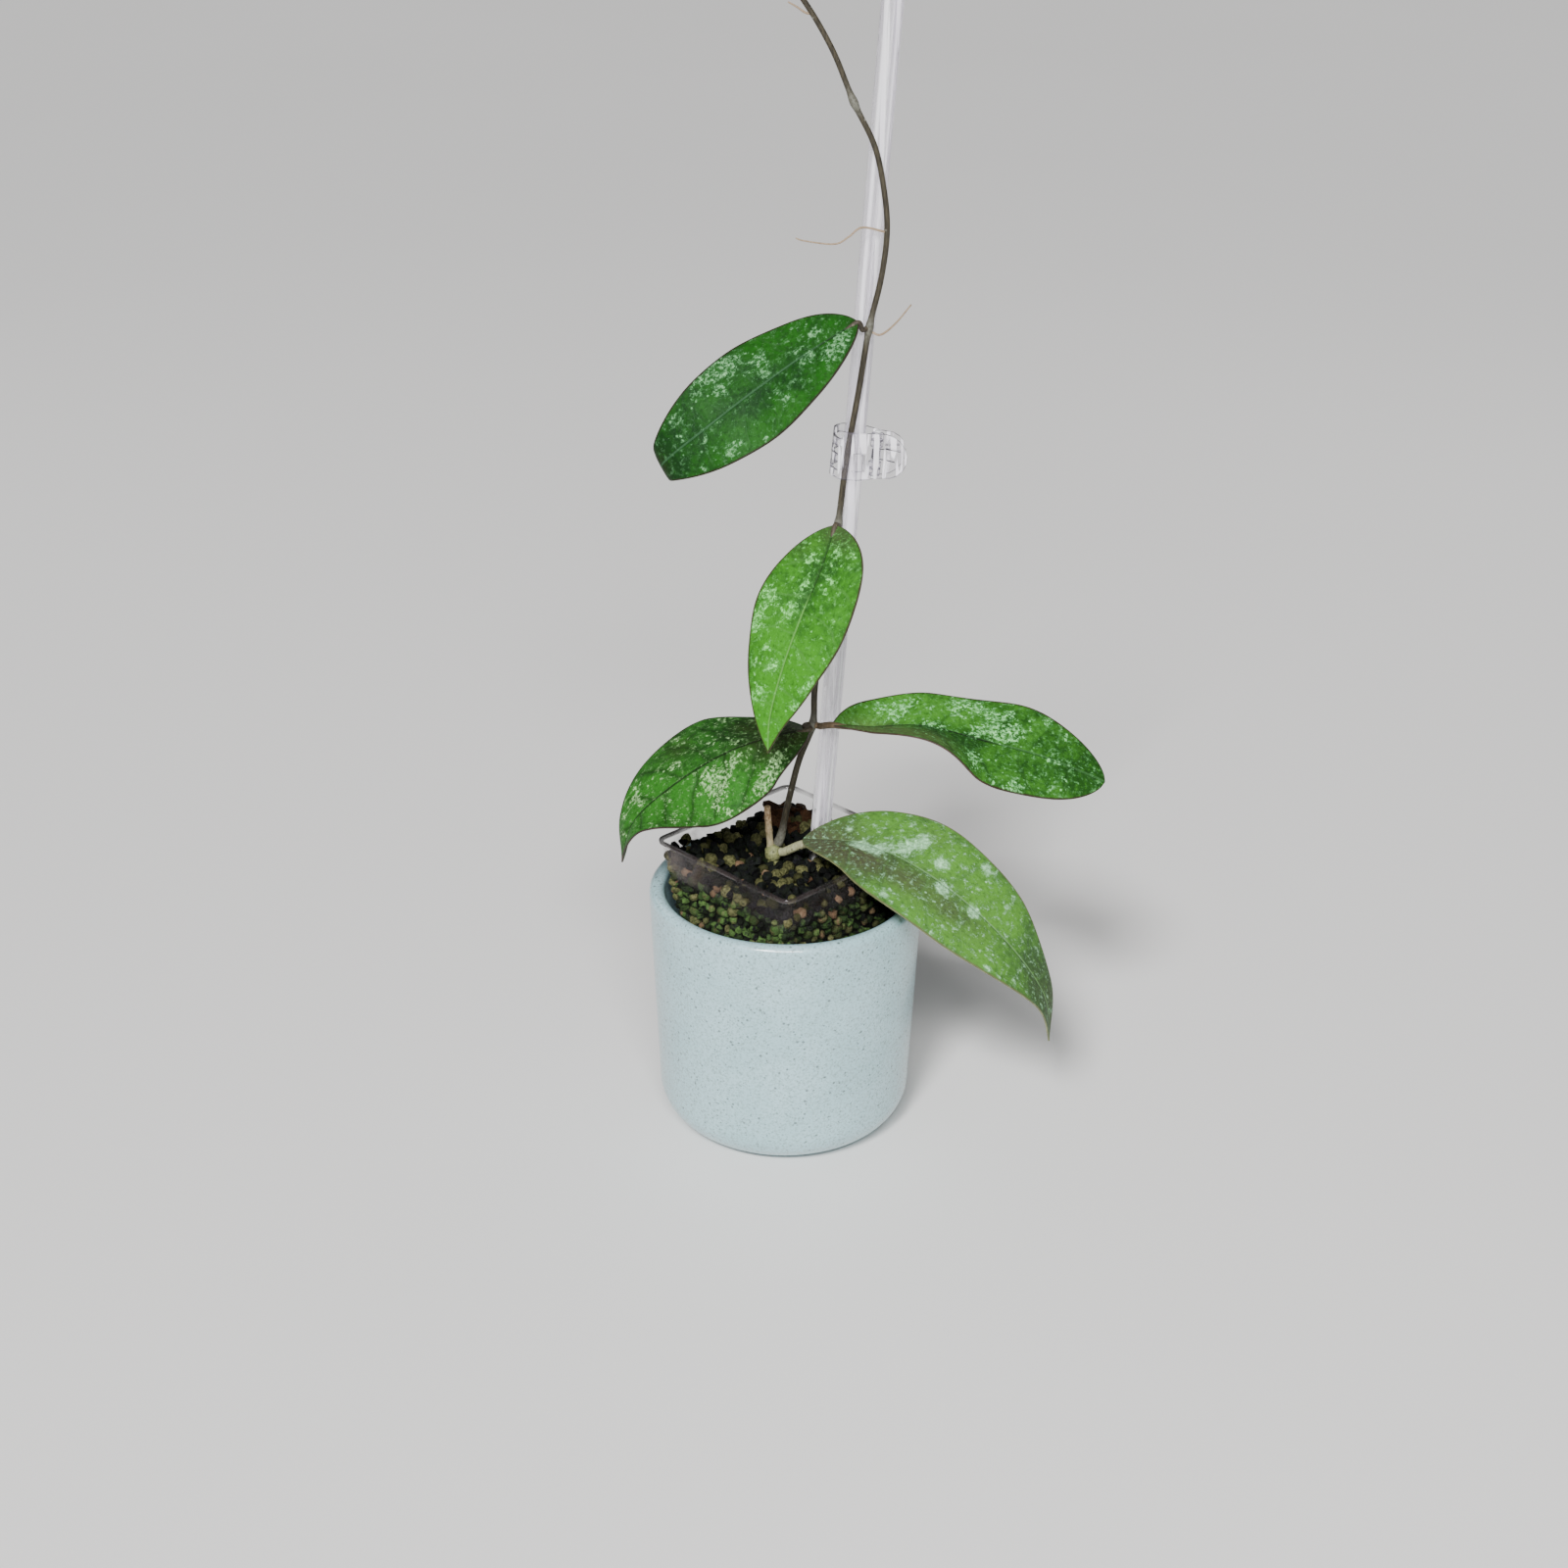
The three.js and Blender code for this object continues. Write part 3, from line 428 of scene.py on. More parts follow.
class Finish:
    """One material, built node by node. Sizes and depths are in mm, colours are red, green and blue."""

    def __init__(self, name, **values):
        self.material = bpy.data.materials.new(name)
        self.material.use_nodes = True
        self.tree = self.material.node_tree
        self.shader = self.tree.nodes["Principled BSDF"]
        for socket, value in values.items():
            self.shader.inputs[socket.replace("_", " ")].default_value = value

    def add(self, kind, sockets=None, **settings):
        node = self.tree.nodes.new(kind)
        for key, value in settings.items():
            setattr(node, key, value)
        for socket, value in (sockets or {}).items():
            self.feed(node.inputs[socket], value)
        return node

    def feed(self, socket, value):
        if isinstance(value, bpy.types.NodeSocket):
            self.tree.links.new(value, socket)
        elif socket.type == "RGBA":
            socket.default_value = (*value, 1.0)
        else:
            socket.default_value = value

    def send(self, socket, value):
        self.feed(self.shader.inputs[socket], value)

    def place(self):
        return self.add("ShaderNodeTexCoord").outputs["Object"]

    def axes(self, place):
        return self.add("ShaderNodeSeparateXYZ", {"Vector": place}).outputs

    def drawn_out(self, place, upright):
        """The place scaled along Z alone, which draws a pattern out where the scale is below 1."""
        return self.add("ShaderNodeMapping", {"Vector": place, "Scale": (1, 1, upright)}).outputs[0]

    def facing(self, blend):
        return self.add("ShaderNodeLayerWeight", {"Blend": blend}).outputs["Facing"]

    def read(self, name):
        return self.add("ShaderNodeAttribute", attribute_name=name).outputs["Fac"]

    def vector(self, x, y):
        return self.add("ShaderNodeCombineXYZ", {"X": x, "Y": y}).outputs[0]

    def sum(self, operation, a, b=0.0, clamp=False):
        node = self.add("ShaderNodeMath", operation=operation, use_clamp=clamp)
        self.feed(node.inputs[0], a)
        self.feed(node.inputs[1], b)
        return node.outputs[0]

    def plus(self, a, b, clamp=False):
        return self.sum("ADD", a, b, clamp)

    def minus(self, a, b):
        return self.sum("SUBTRACT", a, b)

    def times(self, a, b):
        return self.sum("MULTIPLY", a, b)

    def most(self, a, b):
        return self.sum("MAXIMUM", a, b)

    def noise(self, place, size, detail=3.0, roughness=0.5):
        sockets = {"Vector": place, "Scale": 1 / (size * MM), "Detail": detail, "Roughness": roughness}
        return self.add("ShaderNodeTexNoise", sockets).outputs["Fac"]

    def cells(self, place, size):
        sockets = {"Vector": place, "Scale": 1 / (size * MM)}
        return self.add("ShaderNodeTexVoronoi", sockets).outputs["Distance"]

    def band(self, value, low, high, out_low=0.0, out_high=1.0):
        """Smooth change from out_low to out_high while value goes from low to high."""
        sockets = {"Value": value, "From Min": low, "From Max": high, "To Min": out_low, "To Max": out_high}
        return self.add("ShaderNodeMapRange", sockets, interpolation_type="SMOOTHSTEP").outputs["Result"]

    def blend(self, share, a, b):
        node = self.add("ShaderNodeMix", data_type="RGBA")
        self.feed(node.inputs["Factor"], share)
        self.feed(node.inputs[6], a)
        self.feed(node.inputs[7], b)
        return node.outputs[2]

    def relief(self, height, depth, strength=1.0, under=None):
        sockets = {"Height": height, "Distance": depth * MM, "Strength": strength}
        if under is not None:
            sockets["Normal"] = under
        return self.add("ShaderNodeBump", sockets).outputs["Normal"]


def toned(colour, factor):
    """A colour made darker or lighter."""
    return [factor * channel for channel in colour]


def two_tone(name, size, dark, light, **values):
    """A finish that wanders between two close tones, in patches of one size."""
    paint = Finish(name, **values)
    paint.send("Base Color", paint.blend(paint.noise(paint.place(), size), dark, light))
    return paint.material


# Specks in the glaze: spacing in mm, reach as a share of it, strength and colour
SPECKS = [(1.5, 0.20, 0.5, (0.13, 0.18, 0.165)), (3.0, 0.12, 0.7, (0.06, 0.08, 0.07))]


def glaze():
    paint = Finish("speckled glaze", Roughness=0.4, Coat_Weight=0.6, Coat_Roughness=0.08, Coat_IOR=1.5)
    place = paint.place()
    cloud = paint.noise(place, 26, 3)
    fine = paint.noise(place, 1.0, 3, 0.7)
    base = paint.blend(paint.band(cloud, 0.35, 0.65), (0.345, 0.540, 0.585), (0.390, 0.590, 0.640))
    base = paint.blend(paint.band(fine, 0.44, 0.66, 0, 0.6), base, (0.22, 0.31, 0.30))
    for spacing, reach, strength, colour in SPECKS:
        uneven = paint.band(paint.noise(place, spacing * 1.4, 1), 0.35, 0.7, -reach * 0.6, reach * 0.6)
        near = paint.plus(paint.cells(place, spacing), uneven)
        speck = paint.band(near, reach * 0.7, reach * 1.25, strength, 0)
        base = paint.blend(speck, base, colour)
    paint.send("Base Color", base)
    paint.send("Normal", paint.relief(paint.noise(place, 6, 2), 0.05, 0.5))
    return paint.material


# Where the clear pot is fogged, closes at its lip, is hazier and glints: heights and places across, in metres
CLEAR_POT = {
    "fog_from": (0.106, 0.113), "fog_to": (0.1225, 0.119), "lip": (0.1213, 0.1222),
    "hazy_left": (-0.022, -0.044), "glint_left": (-0.030, -0.046),
}


def clear_pot():
    """Thin clear plastic, fogged over the grit, more so at the left, with a lip that catches the light."""
    paint = Finish("thin clear plastic", IOR=1.46, Roughness=0.12)
    place = paint.place()
    across, height = paint.axes(place)["X"], paint.axes(place)["Z"]
    blotch = paint.noise(place, 8, 4, 0.6)
    fog = paint.times(paint.band(height, *CLEAR_POT["fog_from"]), paint.band(height, *CLEAR_POT["fog_to"]))
    fog = paint.times(fog, paint.band(blotch, 0.35, 0.65, 0.15, 1))
    left = paint.band(across, *CLEAR_POT["hazy_left"])
    haze = paint.blend(left, (0.075, 0.054, 0.042), (0.200, 0.145, 0.105))
    tint = paint.blend(fog, (0.42, 0.38, 0.39), haze)
    lip = paint.band(height, *CLEAR_POT["lip"])
    paint.send("Base Color", paint.blend(lip, tint, (0.034, 0.025, 0.025)))
    thick = paint.times(fog, paint.band(left, 0, 1, 0.08, 0.26))
    alpha = paint.plus(thick, paint.band(paint.facing(0.2), 0.7, 1.0, 0.008, 0.3))
    streak = paint.band(paint.noise(place, 15, 2), 0.40, 0.60, 0.25, 0.7)
    streak = paint.most(streak, paint.band(across, *CLEAR_POT["glint_left"], 0, 0.85))
    paint.send("Alpha", paint.most(alpha, paint.times(lip, streak)))
    paint.send("Normal", paint.relief(paint.noise(place, 5, 2), 0.15, 0.3))
    return paint.material


def stake_acrylic():
    """Clear acrylic, a little milky, with painted highlights: brighter, less clear bands drawn out along Z.
    """
    paint = Finish("clear stake", IOR=1.47, Coat_Weight=0.5, Coat_Roughness=0.05)
    drawn = paint.drawn_out(paint.place(), 0.02)
    haze = paint.noise(drawn, 3, 2)
    # Painted highlight: where the bands round the stake or the drawn-out noise are high, the acrylic is
    # whiter and less clear
    bright = paint.most(paint.read("streak"), paint.band(paint.noise(drawn, 2.2, 1), 0.56, 0.66))
    paint.send("Base Color", paint.blend(paint.band(haze, 0.3, 0.7), (0.90, 0.86, 0.95), (0.97, 0.96, 0.99)))
    paint.send("Transmission Weight", paint.band(bright, 0, 1, 0.88, 0.25))
    paint.send("Roughness", paint.band(haze, 0.35, 0.75, 0.02, 0.10))
    return paint.material


def clip_plastic():
    """Clear moulded plastic: seen through flat on, with painted shade that makes it near black and closed
    towards its edges, and painted highlights as bright upright bands.
    """
    paint = Finish("clip plastic", IOR=1.49, Roughness=0.08, Specular_IOR_Level=0.9)
    drawn = paint.drawn_out(paint.place(), 0.12)
    edge = paint.facing(0.5)
    # Painted highlight: bright upright bands, near white and nearly closed
    streak = paint.band(paint.noise(drawn, 2.4, 1), 0.555, 0.60)
    # Painted shade: where the surface turns from view, the colour goes near black and the plastic closes
    base = paint.blend(paint.band(edge, 0.48, 0.8), (0.60, 0.55, 0.70), (0.012, 0.009, 0.020))
    paint.send("Base Color", paint.blend(streak, base, (0.97, 0.95, 1.0)))
    closed = paint.band(edge, 0.46, 0.78, 0.03, 0.95)
    paint.send("Alpha", paint.most(closed, paint.times(streak, 0.85)))
    return paint.material


# The kinds of loose stone, with the depth of painted shade in their pits and the colour of their dust
STONES = {
    "lava": {
        "finish": "charcoal lava", "dark": (0.0012, 0.0011, 0.0017), "light": (0.0095, 0.0088, 0.0125),
        "pits": 0.9, "dust": (0.005, 0.0044, 0.004),
    },
    "pumice": {
        "finish": "olive pumice", "dark": (0.020, 0.021, 0.007), "light": (0.175, 0.170, 0.072),
        "pits": 0.75, "dust": (0.030, 0.030, 0.010),
    },
    "tan": {
        "finish": "tan pebbles", "dark": (0.11, 0.065, 0.038), "light": (0.24, 0.16, 0.10),
        "pits": 0.4, "dust": (0.15, 0.08, 0.045),
    },
    "bark": {
        "finish": "brown bark", "dark": (0.012, 0.0042, 0.0028), "light": (0.085, 0.036, 0.018),
        "pits": 0.6, "dust": (0.065, 0.028, 0.014),
    },
}


def grit_stone(kind):
    paint = Finish(kind["finish"], Roughness=0.7, Specular_IOR_Level=0.1)
    place = paint.place()
    tone = paint.read("tone")
    mottled = paint.noise(place, 1.4, 4, 0.7)
    base = paint.blend(tone, kind["dark"], kind["light"])
    base = paint.blend(paint.band(mottled, 0.44, 0.60, 0, 0.8), base, kind["dust"])
    pits = paint.cells(place, 0.55)
    # Painted shade in the pits: they are darkened as well as sunk in the relief
    base = paint.blend(paint.band(pits, 0.2, 0.42, kind["pits"], 0), base, toned(kind["dark"], 0.3))
    moss = paint.times(paint.read("moss"), paint.band(paint.noise(place, 2.2, 3), 0.34, 0.56))
    green = paint.blend(paint.times(tone, mottled), (0.009, 0.024, 0.005), (0.145, 0.275, 0.07))
    paint.send("Base Color", paint.blend(moss, base, green))
    height = paint.plus(pits, paint.noise(place, 0.9, 3))
    paint.send("Normal", paint.relief(height, 0.5, 0.9))
    return paint.material


def bare_stem(name, low, high, fleck, length=5.0, pits=0.0):
    """Bark of a thin stem, with marks drawn out along it, pale spots and dark pits."""
    paint = Finish(name, Roughness=0.62, Specular_IOR_Level=0.4)
    place = paint.place()
    grain = paint.noise(paint.drawn_out(place, 1 / length), 0.8, 4, 0.6)
    base = paint.blend(paint.band(grain, 0.35, 0.68), low, high)
    patch = paint.band(paint.noise(place, 1.1, 3), 0.35, 0.65, 0.45, 1)
    base = paint.blend(paint.times(paint.read("pale"), patch), base, fleck)
    spots = paint.band(paint.cells(place, 4.2), 0.11, 0.16, 0.85, 0)
    base = paint.blend(spots, base, fleck)
    hollows = paint.band(paint.cells(place, 2.3), 0.10, 0.2, pits, 0)
    paint.send("Base Color", paint.blend(hollows, base, toned(low, 0.15)))
    paint.send("Normal", paint.relief(grain, 0.25, 0.7))
    return paint.material


# Lines on the blades, in metres: half widths of the rib, veins and troughs, where the veins begin from the
# edge and the base, and how much they bend forwards
LINES = {
    "rib": (0.0002, 0.0007), "vein": (0.0002, 0.0008), "trough": (0.0, 0.0032),
    "from_edge": (0.001, 0.004), "from_base": (0.006, 0.014), "bend": 12.0,
}


def leaf_lines(paint, look):
    """The midrib and the side veins of one blade, from its own measures in metres."""
    run, cross = paint.read("along"), paint.read("across")
    flat = paint.vector(run, cross)
    reach = paint.sum("ABSOLUTE", cross)
    bend = paint.times(paint.times(reach, reach), LINES["bend"])
    sweep = paint.plus(paint.times(reach, look["vein_sweep"]), bend)
    first, second = look["vein_at"]
    side = paint.times(paint.sum("GREATER_THAN", cross, 0.0), (second - first) * MM)
    start = paint.plus(paint.plus(side, sweep), first * MM)
    gap = look["vein_gap"] * MM
    steps = paint.sum("DIVIDE", paint.minus(run, start), gap)
    steps = paint.plus(steps, paint.band(paint.noise(flat, 14, 1), 0.3, 0.7, 0.42, 0.58))
    off = paint.times(paint.sum("ABSOLUTE", paint.minus(paint.sum("FRACT", steps), 0.5)), gap)
    off_edge = paint.band(paint.read("edge"), *LINES["from_edge"])
    inside = paint.times(off_edge, paint.band(run, *LINES["from_base"]))
    return {
        "flat": flat, "run": run, "rib": paint.band(reach, *LINES["rib"], 1, 0),
        "vein": paint.times(paint.band(off, *LINES["vein"], 1, 0), inside),
        "trough": paint.times(paint.band(off, *LINES["trough"], 1, 0), inside),
    }


def leaf_green(paint, look, lines, grain, fine):
    """The green of a blade with its flecks, painted shade in the troughs along its veins, the veins and the
    midrib.
    """
    cloud = paint.noise(lines["flat"], 9, 3)
    tone = paint.plus(paint.read("tone"), paint.band(cloud, 0.3, 0.7, -0.2, 0.2))
    tone = paint.plus(tone, paint.band(grain, 0.3, 0.7, -0.22, 0.22), clamp=True)
    base = paint.blend(tone, look["deep"], look["light"])
    base = paint.blend(paint.times(paint.read("cast"), 0.9), base, look["cast"])
    base = paint.blend(paint.band(fine, 0.50, 0.72, 0, 0.6), base, toned(look["deep"], 0.4))
    base = paint.blend(paint.band(fine, 0.48, 0.28, 0, 0.45), base, toned(look["light"], 1.5))
    # Painted shade: the troughs beside the veins, sunk in the relief, are darkened
    base = paint.blend(paint.times(lines["trough"], look["shade"]), base, toned(look["deep"], 0.7))
    base = paint.blend(paint.times(lines["vein"], look["vein_share"]), base, look["vein"])
    rib_from = look["rib_start"] * MM
    rib = paint.blend(paint.band(lines["run"], rib_from, rib_from + 0.01), look["rib_base"], look["rib"])
    return paint.blend(paint.times(lines["rib"], 0.85), base, rib)


def leaf_silver(paint, look, flat):
    """Where the silver lies: large marks with torn edges, small spots and a thin dust."""
    tear = paint.band(paint.noise(flat, 2.4, 4, 0.7), 0.3, 0.7, -look["ragged"], look["ragged"])
    crumbs = paint.band(paint.noise(flat, 1.5, 3, 0.7), 0.42, 0.58, look["crumb"], 1)
    marks = paint.times(paint.band(paint.plus(paint.read("splash"), tear), *look["soft"]), crumbs)
    shrink = paint.band(paint.noise(flat, 7, 2), 0.62, 0.44, -0.02, 0.14)
    spots = paint.band(paint.plus(paint.cells(flat, 3.8), shrink), 0.07, 0.16, 0.6, 0)
    dust = paint.times(paint.band(paint.noise(flat, 3, 5, 0.8), 0.52, 0.68, 0, look["dust"]), crumbs)
    return paint.most(marks, paint.most(spots, dust))


def leaf_face(name, look):
    paint = Finish(name, Specular_IOR_Level=0.12)
    lines = leaf_lines(paint, look)
    flat = lines["flat"]
    grain = paint.noise(flat, 3.6, 3, 0.6)
    fine = paint.noise(flat, 1.7, 4, 0.7)
    green = leaf_green(paint, look, lines, grain, fine)
    silver = leaf_silver(paint, look, flat)
    shine = paint.band(paint.noise(flat, 1.9, 3, 0.7), 0.48, 0.62)
    pale = paint.blend(shine, toned(look["silver"], 0.85), toned(look["silver"], 1.35))
    base = paint.blend(paint.times(silver, 0.92), green, pale)
    uneven_edge = paint.minus(paint.read("edge"), paint.times(paint.noise(flat, 4, 2), 0.0006))
    base = paint.blend(paint.band(uneven_edge, 0.0, 0.0005, 0.9, 0), base, look["margin"])
    paint.send("Base Color", base)
    gloss = paint.band(fine, 0.3, 0.7, 0.48, 0.60)
    paint.send("Roughness", paint.plus(gloss, paint.times(silver, 0.12)))
    swell = paint.times(lines["trough"], -look["quilt"])
    sunk = paint.minus(swell, paint.times(lines["vein"], look["vein_share"]))
    coarse = paint.relief(paint.minus(sunk, lines["rib"]), 0.3, 1.0)
    height = paint.plus(paint.plus(fine, silver), grain)
    paint.send("Normal", paint.relief(height, 0.32, 0.8, coarse))
    return paint.material


def leaf_under(name, look):
    paint = Finish(name, Roughness=0.55, Specular_IOR_Level=0.4)
    lines = leaf_lines(paint, look)
    pale = [lerp(channel, 0.16, 0.3) for channel in look["light"]]
    mottle = paint.band(paint.noise(lines["flat"], 5, 3), 0.3, 0.7)
    base = paint.blend(mottle, pale, toned(pale, 0.75))
    base = paint.blend(paint.times(lines["vein"], 0.4), base, toned(pale, 1.3))
    base = paint.blend(paint.times(lines["rib"], 0.6), base, (0.16, 0.17, 0.07))
    paint.send("Base Color", base)
    height = paint.plus(lines["vein"], paint.noise(lines["flat"], 1.5, 3))
    paint.send("Normal", paint.relief(height, 0.2, 0.5))
    return paint.material


def leaf_edge(name, look):
    paint = Finish(name, Roughness=0.5)
    flat = paint.vector(paint.read("along"), paint.read("across"))
    tone = paint.band(paint.noise(flat, 3, 3), 0.35, 0.65)
    paint.send("Base Color", paint.blend(tone, look["margin"], toned(look["margin"], 1.8)))
    return paint.material


# Colours and finish of each blade. Rib starts, vein places and vein gaps are in mm along it.
# Shade is how strongly painted shade darkens the troughs along the veins.
LOOKS = {
    "leaf_basal": {
        "deep": (0.038, 0.088, 0.028), "light": (0.084, 0.240, 0.032), "cast": (0.070, 0.073, 0.040),
        "vein": (0.080, 0.200, 0.050), "rib": (0.120, 0.240, 0.090), "rib_base": (0.08, 0.12, 0.05),
        "silver": (0.375, 0.720, 0.420), "margin": (0.105, 0.115, 0.050), "soft": (0.30, 0.92),
        "vein_share": 0.3, "vein_gap": 18, "vein_at": (8, 2), "vein_sweep": 0.2, "rib_start": 14,
        "ragged": 0.3, "shade": 0.12, "quilt": 0.4, "dust": 0.88, "crumb": 0.5,
    },
    "leaf_lower_left": {
        "deep": (0.0075, 0.037, 0.0055), "light": (0.023, 0.138, 0.012), "cast": (0.021, 0.033, 0.007),
        "vein": (0.007, 0.024, 0.003), "rib": (0.007, 0.018, 0.004), "rib_base": (0.01, 0.014, 0.005),
        "silver": (0.318, 0.580, 0.235), "margin": (0.018, 0.008, 0.006), "soft": (0.36, 0.74),
        "vein_share": 0.45, "vein_gap": 14, "vein_at": (6, 12.7), "vein_sweep": 0.4, "rib_start": 20,
        "ragged": 0.6, "shade": 0.4, "quilt": 1.5, "dust": 0.4, "crumb": 0.0,
    },
    "leaf_lower_right": {
        "deep": (0.0095, 0.054, 0.0055), "light": (0.051, 0.205, 0.020), "cast": (0.075, 0.105, 0.036),
        "vein": (0.010, 0.040, 0.007), "rib": (0.030, 0.100, 0.026), "rib_base": (0.008, 0.02, 0.006),
        "silver": (0.245, 0.715, 0.250), "margin": (0.028, 0.015, 0.010), "soft": (0.36, 0.74),
        "vein_share": 0.4, "vein_gap": 18, "vein_at": (7, 2.5), "vein_sweep": 0.25, "rib_start": 60,
        "ragged": 0.6, "shade": 0.15, "quilt": 0.4, "dust": 0.4, "crumb": 0.0,
    },
    "leaf_middle": {
        "deep": (0.015, 0.074, 0.008), "light": (0.039, 0.205, 0.010), "cast": (0.048, 0.076, 0.026),
        "vein": (0.070, 0.215, 0.045), "rib": (0.095, 0.280, 0.050), "rib_base": (0.018, 0.06, 0.011),
        "silver": (0.208, 0.690, 0.168), "margin": (0.034, 0.020, 0.012), "soft": (0.36, 0.80),
        "vein_share": 0.3, "vein_gap": 14.2, "vein_at": (7.3, 1), "vein_sweep": 0.12, "rib_start": 26,
        "ragged": 0.55, "shade": 0.12, "quilt": 0.35, "dust": 0.48, "crumb": 0.1,
    },
    "leaf_upper": {
        "deep": (0.0036, 0.030, 0.0042), "light": (0.0095, 0.080, 0.0045), "cast": (0.0125, 0.020, 0.0038),
        "vein": (0.022, 0.080, 0.022), "rib": (0.030, 0.088, 0.036), "rib_base": (0.012, 0.036, 0.012),
        "silver": (0.150, 0.385, 0.160), "margin": (0.018, 0.010, 0.007), "soft": (0.36, 0.80),
        "vein_share": 0.22, "vein_gap": 16, "vein_at": (4, 10), "vein_sweep": 0.2, "rib_start": 12,
        "ragged": 0.55, "shade": 0.1, "quilt": 0.3, "dust": 0.4, "crumb": 0.05,
    },
}
